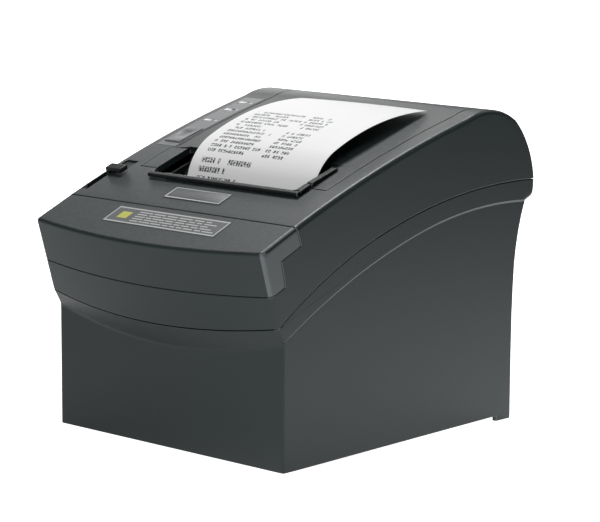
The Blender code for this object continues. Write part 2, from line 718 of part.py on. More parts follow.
def make_platen():
    """Rubber roller on its shaft, two bushes and the gear train from the feed motor."""
    sleeve = x_rod(PLATEN, PAPER_LEFT - 0.0015, PAPER_RIGHT + 0.0015, PLATEN_RADIUS, 40)
    rubber = add_part("platen_rubber", sleeve, "platen_rubber")
    smooth(cut(rubber, x_rod(PLATEN, -0.05, 0.06, SHAFT_RADIUS + GAP, 24)))
    shaft = x_rod(PLATEN, GEAR_LEFT - 0.0010, 0.0545, SHAFT_RADIUS, 24)
    smooth(add_part("platen_shaft", shaft, "zinc_steel"))
    for name, left in (("platen_bush_left", -0.0438), ("platen_bush_right", 0.0497)):
        bush = add_part(name, x_rod(PLATEN, left, left + 0.0016, BUSH_RADIUS, 24), "gear_nylon")
        smooth(cut(bush, x_rod(PLATEN, left - 0.001, left + 0.003, SHAFT_RADIUS + GAP, 24)))
    gear("platen_gear", PLATEN, GEAR_LEFT, GEAR_RIGHT, 0.0078, 24, SHAFT_RADIUS + GAP)
    gear("idler_gear", IDLER, GEAR_LEFT, GEAR_RIGHT, 0.0067, 20, 0.0021)
    gear("motor_pinion", FEED_MOTOR, GEAR_LEFT, GEAR_RIGHT, 0.0032, 10, 0.0)
    motor = add_part("feed_motor", x_rod(FEED_MOTOR, -0.0685, -0.0560, 0.0150), "zinc_steel")
    smooth(join(motor, x_rod(FEED_MOTOR, -0.0565, GEAR_LEFT - 0.0005, 0.0030, 20)))


def make_cutter():
    """Guillotine: a sliding blade driven by a pinion, and the fixed blade carried by the cover."""
    plan = [(-0.0360, BLADE_EDGE_Y), (0.0065, BLADE_EDGE_Y - 0.0015), (0.0490, BLADE_EDGE_Y),
            (0.0490, -0.0470), (0.0520, -0.0480), (0.0520, -0.0600), (-0.0360, -0.0600)]
    add_part("moving_blade", plate_mesh(plan, CUT_HEIGHT - 0.0004, CUT_HEIGHT + 0.0004, "XY"), "blade_steel")
    gear("cutter_gear", CUTTER_SHAFT, 0.0480, 0.0518, 0.0039, 12, 0.0)
    motor = add_part("cutter_motor", x_rod(CUTTER_SHAFT, 0.0570, 0.0685, 0.0085), "zinc_steel")
    smooth(join(motor, x_rod(CUTTER_SHAFT, 0.0525, 0.0575, 0.0020, 20)))
    add_part("fixed_blade", box_mesh((-0.0400, -0.0295, 0.1065), (0.0475, -0.0230, 0.1073)), "blade_steel")


def make_cover_liner():
    """Frame under the roll cover that carries the platen, the fixed blade and the well's floor."""
    floor = [(-0.0162, 0.1230), (-0.0130, 0.1230), (-0.0245, 0.1076), (-0.0292, 0.1076), (-0.0292, 0.1088)]
    liner = add_part("roll_cover_liner", plate_mesh(floor, -0.0437, 0.0512), "black_plastic")
    arm = round_points(PLATEN, 0.0058, 150, 315, 10)
    arm += [(-0.0030, 0.1050), (0.0080, 0.1260), (-0.0130, 0.1222), (-0.0340, 0.1150), (-0.0340, 0.1090)]
    for left in (-0.0438, 0.0497):
        join(liner, plate_mesh(arm, left, left + 0.0016))
        cut(liner, x_rod(PLATEN, left - 0.001, left + 0.003, BUSH_RADIUS + GAP, 24))
    return liner


def make_exit():
    """Raised black lip round the paper exit, the tear blade and its holder."""
    bar_y = -0.0460
    bar_z = height_on(TOP_LINE, bar_y)
    bar = box_mesh((WELL_LEFT, -0.0480, bar_z + GAP), (RIM_RIGHT, -0.0442, bar_z + RIM_HEIGHT),
                   slope_on(TOP_LINE, bar_y), (bar_y, bar_z))
    exit_bar = add_part("exit_bar", bar, "black_plastic")
    corner = [(y, height_on(TOP_LINE, y) + rise) for y, rise in
              ((-0.0450, GAP), (-0.0450, RIM_HEIGHT), (-0.0382, RIM_HEIGHT), (-0.0382, GAP))]
    join(exit_bar, plate_mesh(corner, WELL_RIGHT, RIM_RIGHT))
    front_y = -0.0364
    rear_y = -0.0220
    front_z = height_on(TOP_LINE, front_y)
    rear_z = height_on(TOP_LINE, rear_y)
    rise = [(front_y, front_z + GAP), (front_y - 0.0008, front_z + RIM_HEIGHT), (rear_y, rear_z + 0.0010),
            (rear_y, rear_z + GAP)]
    add_part("exit_rim", plate_mesh(rise, WELL_RIGHT, RIM_RIGHT), "black_plastic")
    holder = [(-0.0437, 0.1160), (-0.0428, 0.1160), (-0.0344, 0.1094), (-0.0344, 0.1068), (-0.0437, 0.1068)]
    add_part("tear_bar_holder", plate_mesh(holder, WELL_LEFT + GAP, WELL_RIGHT - GAP), "black_plastic")
    blade = [(-0.0437, 0.1163), (-0.0430, 0.1163), (-0.0430, 0.1183), (-0.0437, 0.1183)]
    add_part("tear_blade", plate_mesh(blade, PAPER_LEFT - 0.001, PAPER_RIGHT + 0.001), "blade_steel")


def make_lever():
    """Release lever for the cover, with its thumb tab over the left edge."""
    tab_y = -0.0455
    top = height_on(TOP_LINE, tab_y)
    arm = round_points(LEVER_PIVOT, 0.0050, 190, 350, 8)
    arm += [(-0.0435, top), (-0.0435, top + 0.0012), (-0.0478, top + 0.0012), (-0.0478, top)]
    lever = add_part("open_lever", plate_mesh(arm, LEVER_LEFT, LEVER_RIGHT), "black_plastic")
    join(lever, box_mesh((TAB_LEFT, -0.0480, top + 0.0008), (TAB_RIGHT, -0.0430, top + 0.0030),
                         slope_on(TOP_LINE, tab_y), (tab_y, top)))
    cut(lever, x_rod(LEVER_PIVOT, -0.08, -0.06, LEVER_BORE, 20))
    add_part("lever_shaft", x_rod(LEVER_PIVOT, -0.0691, -0.0440, 0.0020, 20), "zinc_steel")


# ---------------------------------------------------------------- electronics and rear connectors
BOARD_TOP = 0.0096
SOCKETS = {
    "network_port": (-0.0340, 0.0160, 0.0132, (0.0120, 0.0085)),
    "usb_port": (-0.0140, 0.0120, 0.0108, (0.0084, 0.0072)),
    "drawer_port": (0.0040, 0.0130, 0.0128, (0.0100, 0.0075)),
    "power_inlet": (0.0220, 0.0140, 0.0140, (0.0095, 0.0095)),
}
ROCKER = (0.0390, 0.0775, 0.0185)


def make_electronics():
    """Main board, connector plate, four sockets and the power rocker."""
    add_part("main_board", box_mesh((-0.0560, -0.0640, BOARD_TOP - 0.0016), (0.0560, 0.0700, BOARD_TOP)),
             "circuit_board")
    plate = box_mesh((-0.0500, 0.0730, 0.0060), (0.0500, 0.0742, 0.0320))
    panel = add_part("rear_panel", plate, "zinc_steel")
    for name, (x, width, height, hole) in SOCKETS.items():
        low = BOARD_TOP + GAP
        half = width / 2
        cut(panel, box_mesh((x - half - GAP, 0.070, low - GAP), (x + half + GAP, 0.080, low + height + GAP)))
        body = box_mesh((x - half, 0.0610, low), (x + half, 0.0765, low + height))
        socket = add_part(name, body, "black_plastic")
        middle = low + height / 2
        across = hole[0] / 2
        up = hole[1] / 2
        cut(socket, box_mesh((x - across, 0.0650, middle - up), (x + across, 0.080, middle + up)))
    x, y, z = ROCKER
    cut(panel, box_mesh((x - 0.0068, 0.070, z - 0.0050), (x + 0.0068, 0.080, z + 0.0050)))
    rocker = round_points((y - 0.0030, z), 0.0046, -55, 55, 8)
    rocker += [(y - 0.0070, z + 0.0030), (y - 0.0070, z - 0.0030)]
    add_part("power_rocker", plate_mesh(rocker, x - 0.0062, x + 0.0062), "black_plastic")


def make_hinge_pins():
    """The two pins that the roll cover turns on."""
    add_part("hinge_pin_left", x_rod(COVER_HINGE, -0.0640, -0.0440, PIN_RADIUS, 16), "zinc_steel")
    add_part("hinge_pin_right", x_rod(COVER_HINGE, 0.0530, 0.0690, PIN_RADIUS, 16), "zinc_steel")


clear_scene()
make_base_housing()
make_base_plate()
make_feet_and_screws()
make_upper_housing()
make_front_cover()
make_roll_cover()
make_operator_panel()
make_paper_bucket()
make_paper()
make_mechanism_frame()
make_head()
make_platen()
make_cutter()
make_cover_liner()
make_exit()
make_lever()
make_electronics()
make_hinge_pins()
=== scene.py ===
"""Looks of a desktop receipt printer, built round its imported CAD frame.

The frame is metres with +Z up: X runs across the printer and the front faces -Y.  Each sub-assembly
is a class that builds its pieces and dresses them, and main() makes them in order.
"""
import logging
import math
import random
from dataclasses import dataclass, field
from enum import Enum
from typing import Callable, Sequence

import bmesh
import bpy
from mathutils import Matrix, Vector


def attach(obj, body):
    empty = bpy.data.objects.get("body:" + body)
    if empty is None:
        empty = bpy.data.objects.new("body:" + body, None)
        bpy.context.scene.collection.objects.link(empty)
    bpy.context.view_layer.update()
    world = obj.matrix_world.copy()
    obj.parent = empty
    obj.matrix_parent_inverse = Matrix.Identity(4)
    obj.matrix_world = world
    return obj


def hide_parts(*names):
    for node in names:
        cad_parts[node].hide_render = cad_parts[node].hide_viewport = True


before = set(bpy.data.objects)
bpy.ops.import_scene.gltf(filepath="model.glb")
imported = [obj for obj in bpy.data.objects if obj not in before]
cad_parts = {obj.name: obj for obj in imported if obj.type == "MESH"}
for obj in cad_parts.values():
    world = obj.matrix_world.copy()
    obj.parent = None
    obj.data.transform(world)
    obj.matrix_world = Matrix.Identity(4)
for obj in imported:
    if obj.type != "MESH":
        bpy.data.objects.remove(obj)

LOG = logging.getLogger("receipt_printer")

Point2 = tuple[float, float]
Colour = tuple[float, float, float]
Piece = bpy.types.Object
Tree = bpy.types.NodeTree
Node = bpy.types.Node
Socket = bpy.types.NodeSocket
Value = float | Socket


class Body(str, Enum):
    """The CAD bodies that pieces ride on."""

    CHASSIS = "chassis"
    ROLL_COVER = "roll_cover"
    NOSE = "front_cover"
    LEVER = "open_lever"
    BUTTON = "feed_button"
    ROCKER = "power_rocker"
    PLATEN = "platen"
    IDLER = "idler"
    PINION = "pinion"
    CUTTER = "cutter_pinion"
    ROLL = "paper_roll"


# ---------------------------------------------------------------- shader groups
def new_group(name: str, inputs: Sequence[tuple[str, str, float]],
              outputs: Sequence[tuple[str, str]]) -> tuple[Tree, Node, Node]:
    """Make an empty shader node group with named sockets.

    Args:
        name: the group's name.
        inputs: (name, socket type, default) of each input.
        outputs: (name, socket type) of each output.

    Returns:
        The group, its input node and its output node.
    """
    group = bpy.data.node_groups.new(name, "ShaderNodeTree")
    for label, kind, default in inputs:
        socket = group.interface.new_socket(label, in_out="INPUT", socket_type=kind)
        if kind == "NodeSocketFloat":
            socket.default_value = default
    for label, kind in outputs:
        group.interface.new_socket(label, in_out="OUTPUT", socket_type=kind)
    return group, group.nodes.new("NodeGroupInput"), group.nodes.new("NodeGroupOutput")


def set_or_link(tree: Tree, socket: Socket, value: Value) -> None:
    """Feed an input from a socket, or set it to a constant."""
    if isinstance(value, Socket):
        tree.links.new(value, socket)
    else:
        socket.default_value = value


def math_node(tree: Tree, operation: str, *operands: Value) -> Socket:
    """Add a Math node.

    Args:
        tree: the tree to add it to.
        operation: what it works out.
        operands: its inputs in order, each a socket or a number.

    Returns:
        The result socket.
    """
    node = tree.nodes.new("ShaderNodeMath")
    node.operation = operation
    for socket, value in zip(node.inputs, operands):
        set_or_link(tree, socket, value)
    return node.outputs[0]


def ramp_node(tree: Tree, value: Socket, low: float, high: float) -> Socket:
    """Add a clamped Map Range to 0..1.

    Args:
        tree: the tree to add it to.
        value: what is mapped.
        low: the value that gives 0.
        high: the value that gives 1.

    Returns:
        The result socket.
    """
    node = tree.nodes.new("ShaderNodeMapRange")
    node.inputs["From Min"].default_value = low
    node.inputs["From Max"].default_value = high
    tree.links.new(value, node.inputs["Value"])
    return node.outputs["Result"]


def noise_node(tree: Tree, vector: Socket, scale: Value, detail: float = 2.0, rough: float = 0.5) -> Socket:
    """Add a Noise texture.

    Args:
        tree: the tree to add it to.
        vector: where the noise is read.
        scale: how fine it is, a socket or a number.
        detail: how many octaves it has.
        rough: how strong the finer octaves are.

    Returns:
        The factor socket.
    """
    node = tree.nodes.new("ShaderNodeTexNoise")
    tree.links.new(vector, node.inputs["Vector"])
    set_or_link(tree, node.inputs["Scale"], scale)
    node.inputs["Detail"].default_value = detail
    node.inputs["Roughness"].default_value = rough
    return node.outputs["Fac"]


def bump_node(tree: Tree, shader: Node, height: Socket, distance: float, strength: float = 1.0) -> None:
    """Give a Principled shader a bump.

    Args:
        tree: the material's tree.
        shader: the Principled shader.
        height: the height socket.
        distance: the relief's depth in metres.
        strength: how much of it shows.
    """
    bump = tree.nodes.new("ShaderNodeBump")
    bump.inputs["Strength"].default_value = strength
    bump.inputs["Distance"].default_value = distance
    tree.links.new(height, bump.inputs["Height"])
    tree.links.new(bump.outputs["Normal"], shader.inputs["Normal"])


def moulded_grain_group() -> Tree:
    """Fine spark-eroded grain of moulded plastic, with its height and a broad cloud of tone.

    Returns:
        The group, whose outputs are Height and Cloud.
    """
    group, enter, leave = new_group(
        "Moulded grain",
        [("Vector", "NodeSocketVector", 0), ("Grain scale", "NodeSocketFloat", 2600),
         ("Cloud scale", "NodeSocketFloat", 18)],
        [("Height", "NodeSocketFloat"), ("Cloud", "NodeSocketFloat")])
    vector, scale = enter.outputs["Vector"], enter.outputs["Grain scale"]
    fine = noise_node(group, vector, scale, 3.0, 0.6)
    broad = noise_node(group, vector, math_node(group, "MULTIPLY", scale, 0.31), 1.0)
    height = math_node(group, "ADD", math_node(group, "MULTIPLY", fine, 0.7),
                       math_node(group, "MULTIPLY", broad, 0.3))
    cloud = noise_node(group, vector, enter.outputs["Cloud scale"], 3.0, 0.55)
    group.links.new(height, leave.inputs["Height"])
    group.links.new(cloud, leave.inputs["Cloud"])
    return group


def brushed_group() -> Tree:
    """Long scratches along X for sheet steel and extrusions.

    Returns:
        The group, whose output is Height.
    """
    group, enter, leave = new_group(
        "Brushed lines", [("Vector", "NodeSocketVector", 0), ("Line scale", "NodeSocketFloat", 1500)],
        [("Height", "NodeSocketFloat")])
    stretch = group.nodes.new("ShaderNodeMapping")
    stretch.inputs["Scale"].default_value = (0.03, 1.0, 1.0)
    group.links.new(enter.outputs["Vector"], stretch.inputs["Vector"])
    lines = noise_node(group, stretch.outputs["Vector"], enter.outputs["Line scale"], 2.0, 0.6)
    group.links.new(lines, leave.inputs["Height"])
    return group


def dust_group() -> Tree:
    """Light dust that settles where a surface faces up.

    Returns:
        The group, whose output is Mask.
    """
    group, enter, leave = new_group("Settled dust", [("Vector", "NodeSocketVector", 0),
                                                     ("Amount", "NodeSocketFloat", 0.1)],
                                    [("Mask", "NodeSocketFloat")])
    normal = group.nodes.new("ShaderNodeNewGeometry")
    split = group.nodes.new("ShaderNodeSeparateXYZ")
    group.links.new(normal.outputs["Normal"], split.inputs["Vector"])
    up = ramp_node(group, split.outputs["Z"], 0.25, 1.0)
    speck = ramp_node(group, noise_node(group, enter.outputs["Vector"], 420.0, 4.0, 0.7), 0.45, 0.75)
    mask = math_node(group, "MULTIPLY", math_node(group, "MULTIPLY", up, speck), enter.outputs["Amount"])
    group.links.new(mask, leave.inputs["Mask"])
    return group


GROUPS: dict[str, Tree] = {}


def shared_group(name: str, make: Callable[[], Tree]) -> Tree:
    """The one shader group of that name, made the first time it is asked for."""
    if name not in GROUPS:
        GROUPS[name] = make()
    return GROUPS[name]


def place_group(tree: Tree, group: Tree, vector: Socket, **values: float) -> Node:
    """Place a shader group on a vector with its own values.

    Args:
        tree: the material's tree.
        group: the shader group.
        vector: what feeds its Vector input.
        values: its other inputs by name, with _ for a space.

    Returns:
        The group's node.
    """
    node = tree.nodes.new("ShaderNodeGroup")
    node.node_tree = group
    tree.links.new(vector, node.inputs["Vector"])
    for label, value in values.items():
        node.inputs[label.replace("_", " ")].default_value = value
    return node


def start_material(name: str, roughness: float, metallic: float,
                   specular: float = 0.5) -> tuple[bpy.types.Material, Tree, Node, Socket]:
    """Make a material with its Principled shader's constants set.

    Args:
        name: the material's name.
        roughness: the shader's roughness.
        metallic: the shader's metallic value.
        specular: the shader's specular level.

    Returns:
        The material, its tree, its shader and the object-space vector.
    """
    material = bpy.data.materials.new(name)
    material.use_nodes = True
    tree = material.node_tree
    shader = tree.nodes["Principled BSDF"]
    shader.inputs["Roughness"].default_value = roughness
    shader.inputs["Metallic"].default_value = metallic
    shader.inputs["Specular IOR Level"].default_value = specular
    return material, tree, shader, tree.nodes.new("ShaderNodeTexCoord").outputs["Object"]


def mix_colour(tree: Tree, mask: Socket, first: Colour | Socket, second: Colour | Socket) -> Socket:
    """Mix two colours by a mask.

    Args:
        tree: the tree to add the node to.
        mask: 0 for the first colour, 1 for the second.
        first: a socket or an RGB triple.
        second: a socket or an RGB triple.

    Returns:
        The mixed colour's socket.
    """
    node = tree.nodes.new("ShaderNodeMix")
    node.data_type = "RGBA"
    tree.links.new(mask, node.inputs["Factor"])
    for socket, value in ((node.inputs[6], first), (node.inputs[7], second)):
        set_or_link(tree, socket, value if isinstance(value, Socket) else (*value, 1.0))
    return node.outputs[2]


def scaled(colour: Colour, share: float) -> Colour:
    """A colour made lighter or darker."""
    return tuple(min(1.0, c * share) for c in colour)


# ---------------------------------------------------------------- finishes
@dataclass(frozen=True)
class MouldedPlastic:
    """Textured injection-moulded plastic, painted lighter as a highlight where its "edge" attribute marks a
    face.
    """

    name: str
    colour: Colour
    roughness: float = 0.5
    grain_depth: float = 0.00004
    grain_scale: float = 2600.0
    cloud: float = 0.06
    dust: float = 0.05
    specular: float = 0.5
    dust_colour: Colour = (0.45, 0.45, 0.43)
    # Lighter colour of the painted highlight on faces that the "edge" attribute marks.
    painted_highlight_colour: Colour = (0.11, 0.12, 0.125)

    def build(self) -> bpy.types.Material:
        """Make the material.

        Returns:
            The finished material.
        """
        material, tree, shader, vector = start_material(self.name, self.roughness, 0.0, self.specular)
        grain = place_group(tree, shared_group("grain", moulded_grain_group), vector,
                            Grain_scale=self.grain_scale)
        tone = mix_colour(tree, grain.outputs["Cloud"], scaled(self.colour, 1 - self.cloud),
                          scaled(self.colour, 1 + self.cloud))
        dust = place_group(tree, shared_group("dust", dust_group), vector, Amount=self.dust)
        dusty = mix_colour(tree, dust.outputs["Mask"], tone, self.dust_colour)
        # Painted highlight: the base colour is mixed towards the lighter colour by the "edge" attribute.
        edge = tree.nodes.new("ShaderNodeAttribute")
        edge.attribute_name = "edge"
        tree.links.new(mix_colour(tree, edge.outputs["Fac"], dusty, self.painted_highlight_colour),
                       shader.inputs["Base Color"])
        spread = ramp_node(tree, grain.outputs["Height"], 0.2, 0.8)
        tree.links.new(math_node(tree, "MULTIPLY_ADD", spread, 0.10, self.roughness - 0.05),
                       shader.inputs["Roughness"])
        bump_node(tree, shader, grain.outputs["Height"], self.grain_depth, 0.5)
        return material


@dataclass(frozen=True)
class SheetMetal:
    """Brushed or plated metal."""

    name: str
    colour: Colour
    roughness: float = 0.35
    line_scale: float = 1500.0
    depth: float = 0.00002

    def build(self) -> bpy.types.Material:
        """Make the material.

        Returns:
            The finished material.
        """
        material, tree, shader, vector = start_material(self.name, self.roughness, 1.0)
        lines = place_group(tree, shared_group("brushed", brushed_group), vector, Line_scale=self.line_scale)
        height = lines.outputs["Height"]
        tree.links.new(mix_colour(tree, height, scaled(self.colour, 0.88), scaled(self.colour, 1.06)),
                       shader.inputs["Base Color"])
        tree.links.new(math_node(tree, "MULTIPLY_ADD", height, 0.22, self.roughness - 0.10),
                       shader.inputs["Roughness"])
        bump_node(tree, shader, height, self.depth, 0.4)
        return material


@dataclass(frozen=True)
class CircuitLaminate:
    """Green solder mask over copper tracks, with bright pads."""

    name: str = "circuit laminate"
    mask: Colour = (0.012, 0.10, 0.045)
    track: Colour = (0.03, 0.20, 0.09)
    pad: Colour = (0.70, 0.68, 0.60)

    def build(self) -> bpy.types.Material:
        """Make the material.

        Returns:
            The finished material.
        """
        material, tree, shader, vector = start_material(self.name, 0.35, 0.0)
        tracks = tree.nodes.new("ShaderNodeTexBrick")
        tracks.inputs["Scale"].default_value = 90.0
        tracks.inputs["Mortar Size"].default_value = 0.05
        tracks.inputs["Brick Width"].default_value = 1.1
        tracks.inputs["Row Height"].default_value = 0.14
        tree.links.new(vector, tracks.inputs["Vector"])
        cells = tree.nodes.new("ShaderNodeTexVoronoi")
        cells.inputs["Scale"].default_value = 210.0
        tree.links.new(vector, cells.inputs["Vector"])
        pads = ramp_node(tree, cells.outputs["Distance"], 0.16, 0.13)
        base = mix_colour(tree, tracks.outputs["Fac"], self.track, self.mask)
        tree.links.new(mix_colour(tree, pads, base, self.pad), shader.inputs["Base Color"])
        bump_node(tree, shader, tracks.outputs["Fac"], 0.00005)
        return material


@dataclass(frozen=True)
class ThermalPaper:
    """Smooth white paper, with or without printed lines along its own UV map in metres."""

    name: str
    colour: Colour = (0.80, 0.80, 0.79)
    printed: bool = False
    ink: Colour = (0.06, 0.06, 0.075)
    line_pitch: float = 0.0031
    tall_pitch: float = 0.0046
    glyph_pitch: float = 0.00165
    first_line: float = 0.0067
    tall_end: float = 0.0205
    body_start: float = 0.0221
    last_line: float = 0.0620
    left_margin: float = 0.006
    column_width: float = 0.034
    right_column: float = 0.041
    right_end: float = 0.056

    def print_mask(self, tree: Tree, uv: Socket) -> Socket:
        """Rows of illegible marks: lines of cells, some blank, each broken up by noise.

        Args:
            tree: the material's node tree.
            uv: the vector socket of the UV map, in metres across and along.

        Returns:
            The mask socket.
        """
        def calc(operation: str, *operands: Value) -> Socket:
            """Add a Math node to this tree."""
            return math_node(tree, operation, *operands)

        def between(value: Socket, low: float, high: Value) -> Socket:
            """1 where a value lies between two others."""
            return calc("MULTIPLY", calc("GREATER_THAN", value, low), calc("LESS_THAN", value, high))

        split = tree.nodes.new("ShaderNodeSeparateXYZ")
        tree.links.new(uv, split.inputs["Vector"])
        across, along = split.outputs["X"], split.outputs["Y"]
        tall_part = calc("LESS_THAN", along, self.tall_end)
        pitch = calc("MULTIPLY_ADD", tall_part, self.tall_pitch - self.line_pitch, self.line_pitch)
        row = calc("DIVIDE", calc("SUBTRACT", along, self.first_line), pitch)
        row_number = calc("FLOOR", row)
        cell = calc("DIVIDE", across, self.glyph_pitch)
        ends = tree.nodes.new("ShaderNodeTexWhiteNoise")
        ends.noise_dimensions = "1D"
        tree.links.new(row_number, ends.inputs["W"])
        length = calc("MULTIPLY_ADD", ends.outputs["Value"], self.column_width * 0.6,
                      self.column_width * 0.4 + self.left_margin)
        paired = calc("MULTIPLY", calc("GREATER_THAN", ends.outputs["Value"], 0.35),
                      calc("GREATER_THAN", along, self.body_start))
        right = calc("MULTIPLY", between(across, self.right_column, self.right_end), paired)
        key = tree.nodes.new("ShaderNodeCombineXYZ")
        tree.links.new(calc("FLOOR", cell), key.inputs["X"])
        tree.links.new(row_number, key.inputs["Y"])
        blank = tree.nodes.new("ShaderNodeTexWhiteNoise")
        blank.noise_dimensions = "2D"
        tree.links.new(key.outputs["Vector"], blank.inputs["Vector"])
        mask = between(calc("FRACT", row), 0.18, 0.76)
        for factor in (
                calc("LESS_THAN", calc("FRACT", cell), 0.80),
                calc("MAXIMUM", between(across, self.left_margin, length), right),
                calc("GREATER_THAN", blank.outputs["Value"], 0.17),
                calc("GREATER_THAN", noise_node(tree, uv, 1300.0, 0.0), 0.42),
                calc("MAXIMUM", calc("MULTIPLY", calc("GREATER_THAN", along, self.first_line), tall_part),
                     between(along, self.body_start, self.last_line))):
            mask = calc("MULTIPLY", mask, factor)
        return mask

    def build(self) -> bpy.types.Material:
        """Make the material.

        Returns:
            The finished material.
        """
        material, tree, shader, vector = start_material(self.name, 0.55, 0.0, 0.4)
        fibre = noise_node(tree, vector, 900.0, 4.0, 0.65)
        tone = mix_colour(tree, fibre, scaled(self.colour, 0.97), scaled(self.colour, 1.02))
        if self.printed:
            uv = tree.nodes.new("ShaderNodeUVMap")
            uv.uv_map = "strip"
            tone = mix_colour(tree, self.print_mask(tree, uv.outputs["UV"]), tone, self.ink)
        tree.links.new(tone, shader.inputs["Base Color"])
        bump_node(tree, shader, fibre, 0.00003, 0.25)
        return material


class Finish(Enum):
    """Every finish on the printer."""

    CHARCOAL = MouldedPlastic("charcoal shell", (0.0108, 0.0172, 0.0182), 0.42, specular=0.40)
    BLACK = MouldedPlastic("black moulding", (0.008, 0.0095, 0.010), 0.50, cloud=0.04, specular=0.25)
    OVERLAY = MouldedPlastic("panel film", (0.100, 0.106, 0.110), 0.38, 0.00001, 3500.0, 0.03)
    BUTTON = MouldedPlastic("button grey", (0.095, 0.102, 0.105), 0.42, 0.00002)
    LENS = MouldedPlastic("lamp window", (0.55, 0.58, 0.56), 0.22, 0.000005, cloud=0.02)
    NYLON = MouldedPlastic("natural nylon", (0.74, 0.72, 0.65), 0.50, 0.00002)
    RUBBER = MouldedPlastic("platen rubber", (0.030, 0.030, 0.032), 0.80, 0.00005, 1800.0, specular=0.3)
    FOOT = MouldedPlastic("foot rubber", (0.016, 0.016, 0.016), 0.85, 0.00006, 1500.0, specular=0.25)
    CARD = MouldedPlastic("core card", (0.36, 0.27, 0.18), 0.85, 0.00006, 900.0, 0.15)
    CERAMIC = MouldedPlastic("glazed ceramic", (0.66, 0.62, 0.52), 0.22, 0.000004, cloud=0.03)
    INK = MouldedPlastic("label print", (0.42, 0.43, 0.42), 0.5, 0.00001)
    LABEL = MouldedPlastic("label film", (0.075, 0.080, 0.084), 0.48, 0.00001, cloud=0.03, specular=0.4)
    YELLOW = MouldedPlastic("label yellow", (0.45, 0.44, 0.05), 0.4, 0.00001)
    ZINC = SheetMetal("zinc plate", (0.56, 0.57, 0.58), 0.36)
    BLADE = SheetMetal("ground blade", (0.64, 0.65, 0.67), 0.24, 2200.0)
    ALUMINIUM = SheetMetal("extruded aluminium", (0.70, 0.71, 0.72), 0.38, 900.0)
    GOLD = SheetMetal("gilt contact", (0.80, 0.60, 0.25), 0.30)
    BOARD = CircuitLaminate()
    PAPER = ThermalPaper("thermal paper")
    RECEIPT = ThermalPaper("printed receipt", printed=True)

    def material(self) -> bpy.types.Material:
        """The finish's material, made the first time it is asked for."""
        return bpy.data.materials.get(self.value.name) or self.value.build()


# ---------------------------------------------------------------- mesh tools
def mesh_object(name: str, bm: bmesh.types.BMesh, finish: Finish, recalc: bool = True) -> Piece:
    """Make an object at the origin from a bmesh, with its finish.

    Args:
        name: the piece's name.
        bm: the geometry, in world places; it is freed.
        finish: what the piece is made of.
        recalc: whether to turn the faces outward first.

    Returns:
        The new object.
    """
    if recalc:
        bmesh.ops.recalc_face_normals(bm, faces=bm.faces)
    mesh = bpy.data.meshes.new(name)
    bm.to_mesh(mesh)
    bm.free()
    item = bpy.data.objects.new(name, mesh)
    bpy.context.scene.collection.objects.link(item)
    mesh.materials.append(finish.material())
    return item


def join_rings(bm: bmesh.types.BMesh, first: Sequence[bmesh.types.BMVert],
               second: Sequence[bmesh.types.BMVert]) -> None:
    """Close the gap between two rings of vertices with a band of faces.

    Args:
        bm: the mesh that they belong to.
        first: one ring.
        second: the other, with as many vertices.
    """
    for i in range(len(first)):
        j = (i + 1) % len(first)
        bm.faces.new((first[i], first[j], second[j], second[i]))


def bake(item: Piece, step: bpy.types.Modifier) -> None:
    """Bake a piece's one modifier into its mesh.

    Args:
        item: the piece.
        step: its modifier, which is removed.
    """
    graph = bpy.context.evaluated_depsgraph_get()
    made = bpy.data.meshes.new_from_object(item.evaluated_get(graph))
    item.modifiers.remove(step)
    item.data = made


def loft(name: str, sections: Sequence[tuple[float, Sequence[Point2]]], finish: Finish) -> Piece:
    """Skin a closed solid over side-view sections at several x.

    Args:
        name: the piece's name.
        sections: (x, outline) pairs whose outlines have the same number of points.
        finish: what the piece is made of.

    Returns:
        The new object.
    """
    bm = bmesh.new()
    rings = [[bm.verts.new((x, y, z)) for y, z in outline] for x, outline in sections]
    for ring, following in zip(rings, rings[1:]):
        join_rings(bm, ring, following)
    bm.faces.new(rings[0])
    bm.faces.new(list(reversed(rings[-1])))
    return mesh_object(name, bm, finish)


def plate(name: str, outline: Sequence[Point2], low: float, high: float, finish: Finish,
          plane: str = "YZ") -> Piece:
    """Give a flat outline thickness: along X for a YZ outline, along Z for an XY outline.

    Args:
        name: the piece's name.
        outline: its corners.
        low: where the thickness starts.
        high: where it ends.
        finish: what the piece is made of.
        plane: "YZ" or "XY".

    Returns:
        The new object.
    """
    def point(across: float, up: float, depth: float) -> tuple[float, float, float]:
        """Place an outline point at a depth."""
        return (depth, across, up) if plane == "YZ" else (across, up, depth)

    bm = bmesh.new()
    near = [bm.verts.new(point(a, b, low)) for a, b in outline]
    far = [bm.verts.new(point(a, b, high)) for a, b in outline]
    bm.faces.new(near)
    bm.faces.new(list(reversed(far)))
    join_rings(bm, near, far)
    return mesh_object(name, bm, finish)


def block(name: str, low: Sequence[float], high: Sequence[float], finish: Finish, turn: float = 0.0,
          about: Point2 = (0.0, 0.0), rounding: float = 0.0, steps: int = 3) -> Piece:
    """A box, turned about an X axis.

    Args:
        name: the piece's name.
        low: its corner nearest the origin's negative side.
        high: the opposite corner.
        finish: what the piece is made of.
        turn: the angle it is turned by, in radians.
        about: the (y, z) that it is turned about.
        rounding: how far its edges are rounded.
        steps: how many faces each rounding has.

    Returns:
        The new object.
    """
    bm = bmesh.new()
    bmesh.ops.create_cube(bm, size=1.0)
    bmesh.ops.scale(bm, vec=[h - l for l, h in zip(low, high)], verts=bm.verts)
    bmesh.ops.translate(bm, vec=[(h + l) / 2 for l, h in zip(low, high)], verts=bm.verts)
    if rounding:
        bmesh.ops.bevel(bm, geom=bm.edges[:], offset=rounding, segments=steps, profile=0.5, affect="EDGES",
                        clamp_overlap=True)
    bmesh.ops.rotate(bm, cent=(0.0, *about), matrix=Matrix.Rotation(turn, 3, "X"), verts=bm.verts)
    return shade(mesh_object(name, bm, finish))


